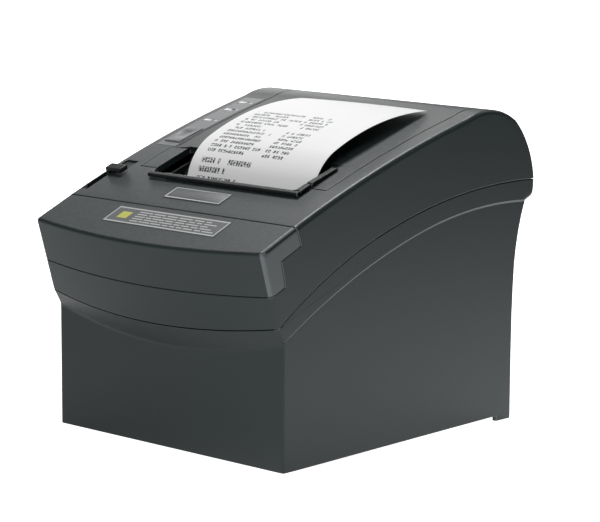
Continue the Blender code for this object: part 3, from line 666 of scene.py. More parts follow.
def turned(name: str, start: Sequence[float], end: Sequence[float], profile: Sequence[Point2],
           finish: Finish, sides: int = 48) -> Piece:
    """Turn a profile about the line from start to end, and close it.

    Args:
        name: the piece's name.
        start: where the profile's distances are measured from.
        end: a point that the axis runs towards.
        profile: (distance along, radius) points.
        finish: what the piece is made of.
        sides: how many faces go round.

    Returns:
        The new object.
    """
    axis = (Vector(end) - Vector(start)).normalized()
    turn = Vector((0, 0, 1)).rotation_difference(axis).to_matrix()
    bm = bmesh.new()
    rings = []
    for along, radius in profile:
        ring = []
        for i in range(sides):
            angle = 2 * math.pi * i / sides
            ring.append(bm.verts.new(Vector(start) + turn @ Vector((radius * math.cos(angle),
                                                                   radius * math.sin(angle), along))))
        rings.append(ring)
    closed = profile[0] == profile[-1]
    if closed:
        bmesh.ops.delete(bm, geom=rings[-1], context="VERTS")
        rings[-1] = rings[0]
    for ring, following in zip(rings, rings[1:]):
        join_rings(bm, ring, following)
    if not closed:
        bm.faces.new(rings[0])
        bm.faces.new(rings[-1])
    return shade(mesh_object(name, bm, finish))


def shade(item: Piece, angle: float = 32.0) -> Piece:
    """Shade a piece smooth except at its sharp edges."""
    item.data.shade_smooth()
    item.data.set_sharp_from_angle(angle=math.radians(angle))
    return item


def boolean(item: Piece, tool: Piece, operation: str = "DIFFERENCE") -> Piece:
    """Cut, join or intersect a piece with a tool.

    Args:
        item: the piece, which is changed.
        tool: the tool, which is removed.
        operation: what the Boolean modifier does.

    Returns:
        The piece.
    """
    step = item.modifiers.new("step", "BOOLEAN")
    step.operation = operation
    step.solver = "EXACT"
    step.object = tool
    bake(item, step)
    bpy.data.objects.remove(tool)
    return item


def cut(item: Piece, *tools: Piece) -> Piece:
    """Cut several tools out of a piece."""
    for tool in tools:
        boolean(item, tool)
    return item


def join(item: Piece, *tools: Piece) -> Piece:
    """Join several tools to a piece as one solid."""
    for tool in tools:
        boolean(item, tool, "UNION")
    return item


def round_off(item: Piece, width: float = 0.00025, segments: int = 2,
              angle: float = 38.0) -> Piece:
    """Round a piece's sharp edges, tidy its flat faces, and mark the roundings that get a painted highlight.

    Args:
        item: the piece, which is changed.
        width: how far each edge is rounded.
        segments: how many faces each rounding has.
        angle: the least angle, in degrees, of an edge that is rounded.

    Returns:
        The piece.
    """
    bm = bmesh.new()
    bm.from_mesh(item.data)
    # Face layer "edge": each face's share of painted highlight.
    edge = bm.faces.layers.float.new("edge")
    bmesh.ops.remove_doubles(bm, verts=bm.verts, dist=1e-6)
    bmesh.ops.dissolve_limit(bm, angle_limit=math.radians(0.08), verts=bm.verts, edges=bm.edges)
    sharp = [e for e in bm.edges
             if len(e.link_faces) == 2 and e.calc_face_angle(0.0) > math.radians(angle)]
    eased = bmesh.ops.bevel(bm, geom=sharp, offset=width, segments=segments, profile=0.5, affect="EDGES",
                            clamp_overlap=False, loop_slide=True)
    # Painted highlight: roundings that face right and forward or down are marked to be painted lighter.
    for face in eased["faces"]:
        face.normal_update()
        x, y, z = face.normal
        face[edge] = 1.0 if x > 0.25 and (y < -0.3 or z < -0.3) else 0.0
    bm.to_mesh(item.data)
    bm.free()
    shade(item, 50.0)
    weight = item.modifiers.new("weighted normals", "WEIGHTED_NORMAL")
    weight.keep_sharp = True
    bake(item, weight)
    return item


def put(item: Piece, body: Body, *nodes: str, slot: str = "") -> Piece:
    """Make a piece ride on its body and hide the CAD nodes that it stands for.

    Args:
        item: the piece.
        body: the body that it rides on.
        nodes: the CAD nodes that it replaces.
        slot: not used.

    Returns:
        The piece.
    """
    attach(item, body.value)
    if nodes:
        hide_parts(*nodes)
    LOG.info("%s: %d faces on %s", item.name, len(item.data.polygons), body.value)
    return item


# ---------------------------------------------------------------- curves of the casing
def arc(first: Point2, through: Point2, last: Point2, steps: int) -> list[Point2]:
    """Points on the circle through three points.

    Args:
        first: where the arc starts.
        through: a point on the way.
        last: where it ends; it is left out of the result.
        steps: how many points to make.

    Returns:
        The points.
    """
    (ax, ay), (bx, by), (cx, cy) = first, through, last
    d = 2 * (ax * (by - cy) + bx * (cy - ay) + cx * (ay - by))
    ux = ((ax**2 + ay**2) * (by - cy) + (bx**2 + by**2) * (cy - ay) + (cx**2 + cy**2) * (ay - by)) / d
    uy = ((ax**2 + ay**2) * (cx - bx) + (bx**2 + by**2) * (ax - cx) + (cx**2 + cy**2) * (bx - ax)) / d
    radius = math.hypot(ax - ux, ay - uy)
    start = math.atan2(ay - uy, ax - ux)
    sweep = math.atan2(cy - uy, cx - ux) - start
    middle = math.atan2(by - uy, bx - ux) - start
    full = 2 * math.pi
    if not min(0, sweep) <= middle <= max(0, sweep):
        middle = (middle + full) if middle < 0 else (middle - full)
        sweep = (sweep + full) if middle > 0 and sweep < 0 else sweep
        sweep = (sweep - full) if middle < 0 and sweep > 0 else sweep
    return [(ux + radius * math.cos(start + sweep * i / steps),
             uy + radius * math.sin(start + sweep * i / steps)) for i in range(steps)]


def round_points(centre: Point2, radius: float, start: float, end: float, steps: int) -> list[Point2]:
    """Points on an arc given by its centre and its angles in degrees, both ends included."""
    angles = [math.radians(start + (end - start) * i / steps) for i in range(steps + 1)]
    return [(centre[0] + radius * math.cos(a), centre[1] + radius * math.sin(a)) for a in angles]


def soft_corner(before: Point2, corner: Point2, after: Point2, radius: float, steps: int = 4) -> list[Point2]:
    """A corner of an outline eased into a short curve.

    Args:
        before: the point before the corner.
        corner: the corner.
        after: the point after it.
        radius: how far from the corner the curve starts and ends.
        steps: how many pieces the curve has.

    Returns:
        The curve's points.
    """
    c = Vector(corner)
    start = c + (Vector(before) - c).normalized() * radius
    end = c + (Vector(after) - c).normalized() * radius
    points = []
    for i in range(steps + 1):
        t = i / steps
        points.append(tuple(start * (1 - t) ** 2 + c * 2 * t * (1 - t) + end * t**2))
    return points


def height_on(line: Sequence[Point2], y: float) -> float:
    """Height of a side-view line.

    Args:
        line: (y, z) points in order of y.
        y: where to read it.

    Returns:
        The height there, or the last point's beyond the line's end.
    """
    for (y0, z0), (y1, z1) in zip(line, line[1:]):
        if y0 <= y <= y1:
            return z0 + (z1 - z0) * (y - y0) / (y1 - y0)
    return line[-1][1]


def inset(outline: Sequence[Point2], distance: float) -> list[Point2]:
    """Move a closed clockwise outline inwards.

    Args:
        outline: its points.
        distance: how far to move it.

    Returns:
        The moved points.
    """
    result = []
    count = len(outline)
    for i, point in enumerate(outline):
        here = Vector(point)
        edge_in = (here - Vector(outline[i - 1])).normalized()
        edge_out = (Vector(outline[(i + 1) % count]) - here).normalized()
        side_in = Vector((edge_in.y, -edge_in.x))
        side_out = Vector((edge_out.y, -edge_out.x))
        middle = (side_in + side_out).normalized()
        result.append(tuple(here + middle * distance / max(0.5, middle.dot(side_in))))
    return result


@dataclass(frozen=True)
class CasingForm:
    """The casing's outer form: a bowed nose, a long rising top, a round rear and an arched shoulder."""

    half_width: float = 0.0725
    height: float = 0.147
    rear: float = 0.095
    front_face: float = -0.075
    rear_face: float = 0.080
    nose_bow: float = 0.006
    nose_slope: float = (0.1072 - 0.0980) / (0.0890 - 0.0677)
    crease_dip: float = 0.006
    flare_dip: float = 0.010
    wall: float = 0.0024
    side_step: float = 0.0007
    corner: float = 0.0022
    seam: float = 0.0004
    cover_hinge: Point2 = (0.0745, 0.1412)

    @property
    def top_line(self) -> list[Point2]:
        """Side-view line of the top, from the nose cover's seam over the crest to the rear."""
        return (arc((-0.0677, 0.1072), (-0.006, 0.1301), (0.047, 0.1449), 24)
                + arc((0.047, 0.1449), (0.066, self.height), (0.081, 0.1412), 14)
                + arc((0.081, 0.1412), (0.0915, 0.1262), (self.rear, 0.1125), 12) + [(self.rear, 0.1125)])

    @property
    def parting_line(self) -> list[Point2]:
        """Side-view line between the upper and the lower casing."""
        return (arc((-0.0786, 0.0642), (-0.0489, 0.0826), (-0.0114, 0.0983), 16)
                + arc((-0.0114, 0.0983), (0.035, 0.1094), (self.rear, 0.1125), 16) + [(self.rear, 0.1125)])

    @property
    def arch_line(self) -> list[Point2]:
        """Side-view line of the shoulder's lower edge."""
        return (arc((-0.0755, 0.0570), (-0.030, 0.0804), (0.010, 0.0944), 14)
                + arc((0.010, 0.0944), (0.050, 0.1020), (0.0885, 0.1024), 14) + [(0.0885, 0.1024)])

    def bow(self, x: float) -> float:
        """How much of the nose's bow there is at x: 1 in the middle, 0 at the sides."""
        return max(0.0, 1 - (x / self.half_width) ** 2)

    def outline(self, x: float, moved: float = 0.0) -> list[Point2]:
        """Side-view outline of the whole casing at x, clockwise from the front foot.

        Args:
            x: the station across the printer.
            moved: how far the surface is moved in before its corners are eased.

        Returns:
            The outline, with as many points at every station.
        """
        bow = self.bow(x)
        sharp = [(self.front_face, 0.0), (self.front_face, 0.0570 - self.flare_dip * bow),
                 (-0.0790 - self.nose_bow * bow, 0.0642 - self.crease_dip * bow),
                 (-0.0890 - self.nose_bow * bow, 0.0980 - self.nose_bow * self.nose_slope * bow)]
        eased = {1: (0.0012, 3), 2: (0.0009, 2), 3: (0.0016, 4)}
        sharp += self.top_line
        eased[len(sharp)] = (0.0018, 3)
        sharp += [(0.0943, 0.1050), (0.0885, 0.1024), (0.0863, 0.0962), (0.0842, 0.0890), (0.0827, 0.0815),
                  (0.0816, 0.0740), (0.0808, 0.0620), (0.0803, 0.0500), (0.0801, 0.0360),
                  (self.rear_face, 0.0230), (self.rear_face, 0.0)]
        points = inset(sharp, moved)
        outline = []
        for i, point in enumerate(points):
            if i in eased:
                outline += soft_corner(points[i - 1], point, points[i + 1], *eased[i])
            else:
                outline.append(point)
        return outline

    def solid(self, name: str, shrink: float = 0.0, foot: float = 0.0) -> Piece:
        """The whole casing as a solid.

        Args:
            name: the object's name.
            shrink: how far to move the surface in, for the cavity.
            foot: height of the underside.

        Returns:
            The solid.
        """
        end = self.half_width - shrink
        if shrink:
            ends = [(end, 0.0)]
            middle = 6
        else:
            quarter = [math.radians(a) for a in (90, 84, 70, 56, 42, 28, 14, 0)]
            ends = [(end - self.corner * (1 - math.sin(a)), self.corner * (1 - math.cos(a))) for a in quarter]
            middle = 12
        stations = [(-x, d) for x, d in ends]
        stations += [(self.half_width * i / (middle + 0.6), 0.0) for i in range(-middle, middle + 1)]
        stations += [(x, d) for x, d in reversed(ends)]
        sections = []
        for x, moved in stations:
            points = self.outline(x, shrink + moved)
            points[0] = (points[0][0], foot)
            points[-1] = (points[-1][0], foot)
            sections.append((x, points))
        return loft(name, sections, Finish.CHARCOAL)

    def above_parting(self, shift: float) -> Piece:
        """Everything above the parting line, which follows the bowed crease round the front.

        Args:
            shift: how far the line is moved up.

        Returns:
            The solid.
        """
        sections = []
        for i in range(-20, 21):
            x = 0.08 * i / 20
            nose = 0.0642 - self.crease_dip * self.bow(x)
            line = ([(-0.12, nose), (-0.0789, nose)] + self.parting_line[1:]
                    + [(0.12, self.parting_line[-1][1])])
            sections.append((x, [(y, z + shift) for y, z in line] + [(0.12, 0.20), (-0.12, 0.20)]))
        return loft("above", sections, Finish.CHARCOAL)

    def ahead_of_split(self, shift: float) -> Piece:
        """Everything in front of the nose cover's stepped seam.

        Args:
            shift: how far the seam is moved forward.

        Returns:
            The solid.
        """
        line = [(-0.0660, 0.1180), (-0.0679, 0.1068), (-0.0650, 0.0988), (-0.0772, 0.0935), (-0.0748, 0.0819),
                (-0.0835, 0.0783), (-0.1200, 0.0625)]
        outline = [(y - shift, z + shift * 0.4) for y, z in line] + [(-0.1200, 0.1180)]
        return plate("ahead", outline, -0.08, 0.08, Finish.CHARCOAL)

    def slope_at(self, y: float) -> float:
        """Angle of the top at y."""
        top = self.top_line
        return math.atan2(height_on(top, y + 0.004) - height_on(top, y - 0.004), 0.008)

    def top_block(self, name: str, x: float, y: float, length: float, width: float, low: float,
                  high: float, finish: Finish, rounding: float = 0.0, steps: int = 3) -> Piece:
        """A box set square on the sloping top.

        Args:
            name: the piece's name.
            x: its middle across.
            y: its middle along.
            length: its size along.
            width: its size across.
            low: its underside's height over the surface.
            high: its top's height over the surface.
            finish: what it is made of.
            rounding: how far its edges are rounded.
            steps: how many faces each rounding has.

        Returns:
            The new object.
        """
        z = height_on(self.top_line, y)
        return block(name, (x - width / 2, y - length / 2, z + low),
                     (x + width / 2, y + length / 2, z + high), finish, self.slope_at(y), (y, z), rounding,
                     steps)


FORM = CasingForm()


# ---------------------------------------------------------------- geometry node trees
def copies_tree(name: str, finish: Finish, **inputs: str) -> tuple[Tree, Node, Node]:
    """Start a tree that sets copies of the modifier's own mesh on points and gives them a finish.

    Args:
        name: the tree's name.
        finish: what the copies are made of.
        inputs: the socket type of each input besides Geometry.

    Returns:
        The tree, its input node and the node whose points the copies are set on.
    """
    tree = bpy.data.node_groups.new(name, "GeometryNodeTree")
    for label, kind in {"Geometry": "Geometry", **inputs}.items():
        tree.interface.new_socket(label, in_out="INPUT", socket_type=f"NodeSocket{kind}")
    tree.interface.new_socket("Geometry", in_out="OUTPUT", socket_type="NodeSocketGeometry")
    enter = tree.nodes.new("NodeGroupInput")
    leave = tree.nodes.new("NodeGroupOutput")
    spread = tree.nodes.new("GeometryNodeInstanceOnPoints")
    real = tree.nodes.new("GeometryNodeRealizeInstances")
    dress = tree.nodes.new("GeometryNodeSetMaterial")
    dress.inputs["Material"].default_value = finish.material()
    tree.links.new(enter.outputs["Geometry"], spread.inputs["Instance"])
    tree.links.new(spread.outputs["Instances"], real.inputs["Geometry"])
    tree.links.new(real.outputs["Geometry"], dress.inputs["Geometry"])
    tree.links.new(dress.outputs["Geometry"], leave.inputs["Geometry"])
    return tree, enter, spread


def row_tree(name: str, finish: Finish) -> Tree:
    """A tree that sets Count copies of the modifier's own mesh along an Offset.

    Args:
        name: the tree's name.
        finish: what the copies are made of.

    Returns:
        The tree, whose inputs are Geometry, Count and Offset.
    """
    tree, enter, spread = copies_tree(name, finish, Count="Int", Offset="Vector")
    line = tree.nodes.new("GeometryNodeMeshLine")
    line.mode = "OFFSET"
    for label in ("Count", "Offset"):
        tree.links.new(enter.outputs[label], line.inputs[label])
    tree.links.new(line.outputs["Mesh"], spread.inputs["Points"])
    return tree


def ring_tree(name: str, finish: Finish) -> Tree:
    """A tree that turns Count copies of the modifier's own mesh about an X axis through Centre.

    Args:
        name: the tree's name.
        finish: what the copies are made of.

    Returns:
        The tree, whose inputs are Geometry, Count and Centre.
    """
    tree, enter, spread = copies_tree(name, finish, Count="Int", Centre="Vector")
    points = tree.nodes.new("GeometryNodePoints")
    tree.links.new(enter.outputs["Count"], points.inputs["Count"])
    tree.links.new(enter.outputs["Centre"], points.inputs["Position"])
    tree.links.new(points.outputs["Points"], spread.inputs["Points"])
    index = tree.nodes.new("GeometryNodeInputIndex")
    share = math_node(tree, "DIVIDE", index.outputs["Index"], enter.outputs["Count"])
    turn = tree.nodes.new("ShaderNodeCombineXYZ")
    tree.links.new(math_node(tree, "MULTIPLY", share, 2 * math.pi), turn.inputs["X"])
    tree.links.new(turn.outputs["Vector"], spread.inputs["Rotation"])
    return tree


def grow(item: Piece, tree: Tree, **values: int | Sequence[float]) -> Piece:
    """Run a geometry tree on a piece, and bake the result into its mesh.

    Args:
        item: the piece, which is changed.
        tree: the geometry tree.
        values: the tree's inputs by name.

    Returns:
        The piece.
    """
    step = item.modifiers.new("grow", "NODES")
    step.node_group = tree
    for socket in tree.interface.items_tree:
        if getattr(socket, "in_out", "") == "INPUT" and socket.name in values:
            step[socket.identifier] = values[socket.name]
    bake(item, step)
    return shade(item)


# ---------------------------------------------------------------- casing
@dataclass
class Casing:
    """The four outer mouldings: lower housing, upper housing, nose cover and roll cover."""

    form: CasingForm = field(default_factory=CasingForm)
    cover_left: float = -0.056
    cover_left_rear: float = -0.053
    cover_right: float = 0.062
    cover_front: float = -0.0377
    cover_jog: float = -0.018
    cover_rear: float = 0.0751
    cover_lean: float = 0.35
    rear_gap_share: float = 13
    barrel: float = 0.0034
    pin_bore: float = 0.0017
    well_left: float = -0.042
    well_left_rear: float = -0.0455
    well_right: float = 0.0495
    well_front: float = -0.044
    well_jog: float = -0.038
    well_rear: float = -0.016
    boss_place: Point2 = (0.062, 0.040)
    boss_reach: float = 0.004
    boss_bore: float = 0.0018
    knuckles: tuple[Point2, ...] = ((-0.0700, -0.0545), (0.0632, 0.0700))
    edge_depth: float = 0.0007
    edge_lift: float = 0.0008
    # Shares of painted highlight on the nose's right end and on its front right corner.
    painted_end_highlight: float = 0.60
    painted_corner_highlight: float = 0.90

    def shell(self, name: str) -> Piece:
        """The hollow casing before it is split into mouldings."""
        inner = self.form.solid("cavity", self.form.wall + self.form.side_step, -0.010)
        return cut(self.form.solid(name), inner)

    def cover_block(self, grown: float) -> Piece:
        """The space that the roll cover takes.

        Args:
            grown: how far it is grown, or shrunk if negative.

        Returns:
            The solid.
        """
        left, left_rear = self.cover_left - grown, self.cover_left_rear - grown
        right, front = self.cover_right + grown, self.cover_front - grown
        rear = self.cover_rear + grown * self.rear_gap_share
        plan = [(left, front), (right, front), (right, rear), (left_rear, rear),
                (left_rear, self.cover_jog), (left, self.cover_jog - 0.001)]
        item = plate("cover block", plan, 0.085, 0.160, Finish.CHARCOAL, "XY")
        for vertex in item.data.vertices:
            if vertex.co.y < -0.03:
                vertex.co.y -= self.cover_lean * (vertex.co.z - 0.118)
        return item

    def well(self) -> Piece:
        """The paper well, cut down through the top.

        Returns:
            The cutter.
        """
        plan = [(self.well_left, self.well_front), (self.well_right, self.well_front),
                (self.well_right, self.well_rear), (self.well_left_rear, self.well_rear),
                (self.well_left_rear, self.well_jog)]
        return plate("well", plan, 0.09, 0.16, Finish.CHARCOAL, "XY")

    def side_cutter(self, side: int) -> Piece:
        """Cutter that sets one side in below the arch and eases the arch's edge.

        Args:
            side: 1 for the right side, -1 for the left.

        Returns:
            The cutter.
        """
        edge, lift, half = self.edge_depth, self.edge_lift, self.form.half_width
        sections = []
        for x, raised in ((half - self.form.side_step, 0.0), (half - edge, 0.0), (half + edge, 2 * lift),
                          (0.080, 2 * lift)):
            arch = [(y, z + raised) for y, z in self.form.arch_line]
            panel = ([(-0.085, -0.01), (-0.085, 0.0570 + raised)] + arch
                     + [(0.100, 0.1024 + raised), (0.100, -0.01)])
            sections.append((side * x, panel))
        return loft("side", sections, Finish.CHARCOAL)

    def base(self) -> Piece:
        """Lower housing: flat sides set in under the overhanging arched shoulder.

        Returns:
            The moulding.
        """
        item = self.shell("base_shell")
        cut(item, self.form.above_parting(-self.form.seam / 2))
        for side in (-1, 1):
            cut(item, self.side_cutter(side))
        sill = [(-0.068, -0.01), (-0.068, 0.0), (0.067, 0.0024), (0.0695, 0.0024), (0.0695, -0.01)]
        cut(item, plate("sill", sill, -0.08, 0.08, Finish.CHARCOAL))
        for sx in (-1, 1):
            for sy in (-1, 1):
                x, y, reach = sx * self.boss_place[0], sy * self.boss_place[1], self.boss_reach
                low, high = sorted((x - sx * reach, sx * 0.0705))
                join(item, block("boss", (low, y - reach, 0.0056), (high, y + reach, 0.026), Finish.CHARCOAL))
                cut(item, turned("bore", (x, y, 0.0), (x, y, 0.022),
                                 [(0, self.boss_bore), (0.022, self.boss_bore)], Finish.CHARCOAL, 24))
        return cut(item, block("window", (-0.047, 0.0725, 0.0088), (0.047, 0.0900, 0.0290), Finish.CHARCOAL))

    def upper(self, panel: "OperatorPanel") -> Piece:
        """Upper housing round the roll cover, with the openings for the lever, button and lamps.

        Args:
            panel: the operator panel whose openings are cut.

        Returns:
            The moulding.
        """
        form = self.form
        item = self.shell("upper_shell")
        boolean(item, form.above_parting(form.seam / 2), "INTERSECT")
        cut(item, form.ahead_of_split(-form.seam / 2), self.cover_block(form.seam / 2), self.well())
        low = height_on(form.top_line, -0.052) - 0.008
        cut(item, block("slot", (-0.0702, -0.0620, low), (-0.0667, -0.0428, 0.13), Finish.CHARCOAL))
        cut(item, form.top_block("recess", -0.0650, -0.0393, 0.0100, 0.0075, -0.0010, 0.004, Finish.CHARCOAL))
        cut(item, panel.strip("film bed", -0.0009, 0.004, 0.0003))
        cut(item, *panel.openings())
        for left, right in self.knuckles:
            join(item, block("knuckle", (left, 0.0700, 0.1365), (right, 0.0772, 0.1432), Finish.CHARCOAL))
            cut(item, self.rod("pin bore", form.cover_hinge, left - 0.002, right + 0.002, self.pin_bore))
        return item

    def nose(self) -> Piece:
        """Nose cover that slides forward off the cutter."""
        item = self.shell("nose_shell")
        boolean(item, self.form.above_parting(self.form.seam / 2), "INTERSECT")
        return boolean(item, self.form.ahead_of_split(self.form.seam / 2), "INTERSECT")

    def cover(self) -> Piece:
        """Roll cover with the rolled rear edge that turns on the hinge pins.

        Returns:
            The moulding.
        """
        form = self.form
        item = self.shell("roll_cover_shell")
        boolean(item, self.cover_block(-form.seam / 2), "INTERSECT")
        cut(item, self.well())
        left = self.cover_left_rear + form.seam / 2
        right = self.cover_right - form.seam / 2
        join(item, self.rod("barrel", form.cover_hinge, left, right, self.barrel))
        for start, end in ((left - 0.001, left + 0.010), (right - 0.010, right + 0.001)):
            cut(item, self.rod("pin bore", form.cover_hinge, start, end, self.pin_bore))
        return item

    @staticmethod
    def rod(name: str, centre: Point2, left: float, right: float, radius: float) -> Piece:
        """A round rod along X through (y, z)."""
        return turned(name, (left, *centre), (right, *centre), [(0.0, radius), (right - left, radius)],
                      Finish.CHARCOAL, 32)

    def build(self, panel: "OperatorPanel") -> None:
        """Make the four mouldings and put them on their bodies.

        Args:
            panel: the operator panel whose openings the upper housing has.
        """
        put(round_off(self.base()), Body.CHASSIS, "base_housing", slot="charcoal_plastic")
        put(round_off(self.upper(panel)), Body.CHASSIS, "upper_housing", slot="charcoal_plastic")
        nose = round_off(self.nose())
        # Painted highlight: the nose's right end and its front right corner are marked to be painted lighter.
        edge = nose.data.attributes["edge"].data
        for face in nose.data.polygons:
            if face.normal.x > 0.9:
                edge[face.index].value = max(edge[face.index].value, self.painted_end_highlight)
            elif face.normal.x > 0.45 and face.normal.y < -0.3:
                edge[face.index].value = self.painted_corner_highlight
        put(nose, Body.NOSE, "front_cover", slot="charcoal_plastic")
        put(round_off(self.cover()), Body.ROLL_COVER, "roll_cover", slot="charcoal_plastic")


# ---------------------------------------------------------------- operator panel
@dataclass
class OperatorPanel:
    """Film overlay, three lamps with their marks, and the feed button."""

    left: float = -0.0672
    right: float = -0.0545
    front: float = -0.0172
    rear: float = 0.043
    button: Point2 = (-0.0607, -0.0055)
    button_length: float = 0.0165
    button_width: float = 0.0098
    button_rise: float = 0.0005
    lamp_x: float = -0.0625
    lamps: tuple[float, ...] = (0.0125, 0.0264, 0.0364)
    lamp_length: float = 0.0026
    lamp_width: float = 0.0048
    mark_offset: float = 0.0054
    mark_radius: float = 0.0009
    gap: float = 0.0003

    def strip(self, name: str, low: float, high: float, grown: float = 0.0) -> Piece:
        """A strip that follows the top.

        Args:
            name: the piece's name.
            low: its underside's height over the surface.
            high: its top's height over the surface.
            grown: how far its sides are moved out.

        Returns:
            The new object.
        """
        ys = [self.front + (self.rear - self.front) * i / 24 for i in range(25)]
        line = [(y, height_on(FORM.top_line, y)) for y in ys]
        outline = [(y, z + low) for y, z in line] + [(y, z + high) for y, z in reversed(line)]
        return plate(name, outline, self.left - grown, self.right + grown, Finish.OVERLAY)

    def openings(self) -> list[Piece]:
        """Cutters for the button and the lamps.

        Returns:
            The cutters, the button's first.
        """
        spare = 2 * self.gap
        places = [(*self.button, self.button_length, self.button_width)]
        places += [(self.lamp_x, y, self.lamp_length, self.lamp_width) for y in self.lamps]
        return [FORM.top_block("opening", x, y, length + spare, width + spare, -0.008, 0.004, Finish.BLACK)
                for x, y, length, width in places]

    def marks(self) -> Piece:
        """Generic printed marks beside the lamps: a bar, a drop and a disc, as raised ink.

        Returns:
            The three marks as one piece.
        """
        bm = bmesh.new()
        bar = [(-0.0011, -0.0007), (0.0011, -0.0007), (0.0011, 0.0007), (-0.0011, 0.0007)]
        drop = round_points((0.0, 0.0), self.mark_radius, 150, 390, 10) + [(0.0, 2 * self.mark_radius)]
        disc = round_points((0.0, 0.0), self.mark_radius, 0, 342, 19)
        for y, outline in zip(self.lamps, (bar, drop, disc)):
            z = height_on(FORM.top_line, y)
            slope = FORM.slope_at(y)
            rings = [[bm.verts.new((self.lamp_x + self.mark_offset + across,
                                    y + along * math.cos(slope) - height * math.sin(slope),
                                    z + along * math.sin(slope) + height * math.cos(slope)))
                      for across, along in outline] for height in (0.00008, 0.00014)]
            for ring in rings:
                bm.faces.new(ring)
            join_rings(bm, *rings)
        return mesh_object("panel_marks", bm, Finish.INK)

    def cap(self) -> Piece:
        """Feed button with rounded corners, a soft edge and a shallow dish.

        Returns:
            The cap.
        """
        item = FORM.top_block("feed_button_cap", *self.button, self.button_length, self.button_width, -0.0040,
                              self.button_rise, Finish.BUTTON, 0.0004, 4)
        dish_z = height_on(FORM.top_line, self.button[1]) + self.button_rise
        centre = Vector((self.button[0], self.button[1], dish_z))
        hollow = [(0.0, 0.0008), (0.00004, 0.0020), (0.00012, 0.0034), (0.0004, 0.0040), (0.003, 0.0042)]
        dish = turned("dish", centre + Vector((0, 0, -0.0002)), centre + Vector((0, 0, 0.02)), hollow,
                      Finish.BUTTON, 40)
        turn = Matrix.Rotation(FORM.slope_at(self.button[1]), 4, "X")
        dish.data.transform(Matrix.Translation(centre) @ turn @ Matrix.Translation(-centre))
        return shade(cut(item, dish))

    def build(self) -> None:
        """Make the panel's pieces."""
        film = cut(self.strip("panel_film", -0.0005, 0.00008), *self.openings())
        put(round_off(film, 0.00003, 1), Body.CHASSIS, "led_panel", slot="grey_overlay")
        for number, y in enumerate(self.lamps, 1):
            lens = FORM.top_block(f"lamp_window_{number}", self.lamp_x, y, self.lamp_length, self.lamp_width,
                                  -0.0040, 0.0002, Finish.LENS, 0.00035, 3)
            put(lens, Body.CHASSIS, f"lamp_lens_{number}", slot="lens_clear")
        put(self.marks(), Body.CHASSIS, slot="lens_clear")
        put(self.cap(), Body.BUTTON, "feed_button", slot="button_grey")


# ---------------------------------------------------------------- paper exit
@dataclass
class PaperExit:
    """Raised black lip, right-hand arm, serrated tear blade and its holder."""

    left: float = -0.042
    right: float = 0.0530
    rim_left: float = 0.0495
    bar_front: float = -0.0467
    bar_rear: float = -0.0442
    bar_height: float = 0.0022
    corner_rear: float = -0.0382
    blade_left: float = -0.034
    blade_right: float = 0.0475
    blade_front: float = -0.0437
    blade_rear: float = -0.0430
    blade_low: float = 0.1163
    blade_root: float = 0.1175
    blade_tip: float = 0.1183
    bar_middle: float = -0.0460
    foot: float = 0.0003
    teeth: int = 54

    def bar(self) -> Piece:
        """The lip in front of the well, with its corner at the arm.

        Returns:
            The lip.
        """
        y = self.bar_middle
        z = height_on(FORM.top_line, y)
        lip = block("exit_lip", (self.left, self.bar_front, z + self.foot),
                    (self.right, self.bar_rear, z + self.bar_height), Finish.BLACK, FORM.slope_at(y), (y, z))
        corner = [(y, height_on(FORM.top_line, y) + rise) for y, rise in
                  ((-0.0450, self.foot), (-0.0450, self.bar_height), (self.corner_rear, self.bar_height),
                   (self.corner_rear, self.foot))]
        join(lip, plate("corner", corner, self.rim_left, self.right, Finish.BLACK))
        return round_off(lip, 0.0005, 3)

    def arm(self) -> Piece:
        """The lip's arm along the well's right side, falling towards the rear.

        Returns:
            The arm.
        """
        front_y, rear_y = self.corner_rear + 0.0006, -0.0205
        front_z, rear_z = height_on(FORM.top_line, front_y), height_on(FORM.top_line, rear_y)
        outline = [(front_y, front_z + self.foot), (front_y, front_z + self.bar_height),
                   (rear_y - 0.0006, rear_z + 0.0013), (rear_y, rear_z + 0.0008),
                   (rear_y, rear_z + self.foot)]
        return round_off(plate("exit_arm", outline, self.rim_left, self.right, Finish.BLACK), 0.0005, 3)

    def blade(self) -> Piece:
        """Tear blade: a strip, which is put on its body here, with a row of teeth along its upper edge.

        Returns:
            The teeth.
        """
        left, front, rear = self.blade_left, self.blade_front, self.blade_rear
        pitch = (self.blade_right - left) / self.teeth
        root, tip = self.blade_root, self.blade_tip
        edge = root - 0.0004
        tooth = [(left, edge), (left + pitch, edge), (left + pitch, root), (left + pitch * 0.62, tip),
                 (left + pitch * 0.38, tip), (left, root)]
        bm = bmesh.new()
        rings = [[bm.verts.new((x, y, z)) for x, z in tooth] for y in (front, rear)]
        for ring in rings:
            bm.faces.new(ring)
        join_rings(bm, *rings)
        teeth = mesh_object("tear_blade_teeth", bm, Finish.BLADE)
        grow(teeth, row_tree("Tooth row", Finish.BLADE), Count=self.teeth, Offset=(pitch, 0.0, 0.0))
        strip = block("tear_blade_strip", (left, front, self.blade_low), (self.blade_right, rear, edge),
                      Finish.BLADE)
        put(strip, Body.CHASSIS, "tear_blade", slot="blade_steel")
        return teeth

    def holder(self) -> Piece:
        """Sloping bed behind the blade that guides the paper out."""
        outline = [(self.blade_front, 0.1160), (-0.0428, 0.1160), (-0.0344, 0.1094), (-0.0344, 0.1068),
                   (self.blade_front, 0.1068)]
        return round_off(plate("tear_bed", outline, self.left + 0.0003, self.rim_left - 0.0003, Finish.BLACK),
                         0.0003, 2)

    def build(self) -> None:
        """Make the exit's pieces."""
        put(self.bar(), Body.CHASSIS, "exit_bar", slot="black_plastic")
        put(self.arm(), Body.ROLL_COVER, "exit_rim", slot="black_plastic")
        put(self.blade(), Body.CHASSIS, slot="blade_steel")
        put(self.holder(), Body.CHASSIS, "tear_bar_holder", slot="black_plastic")


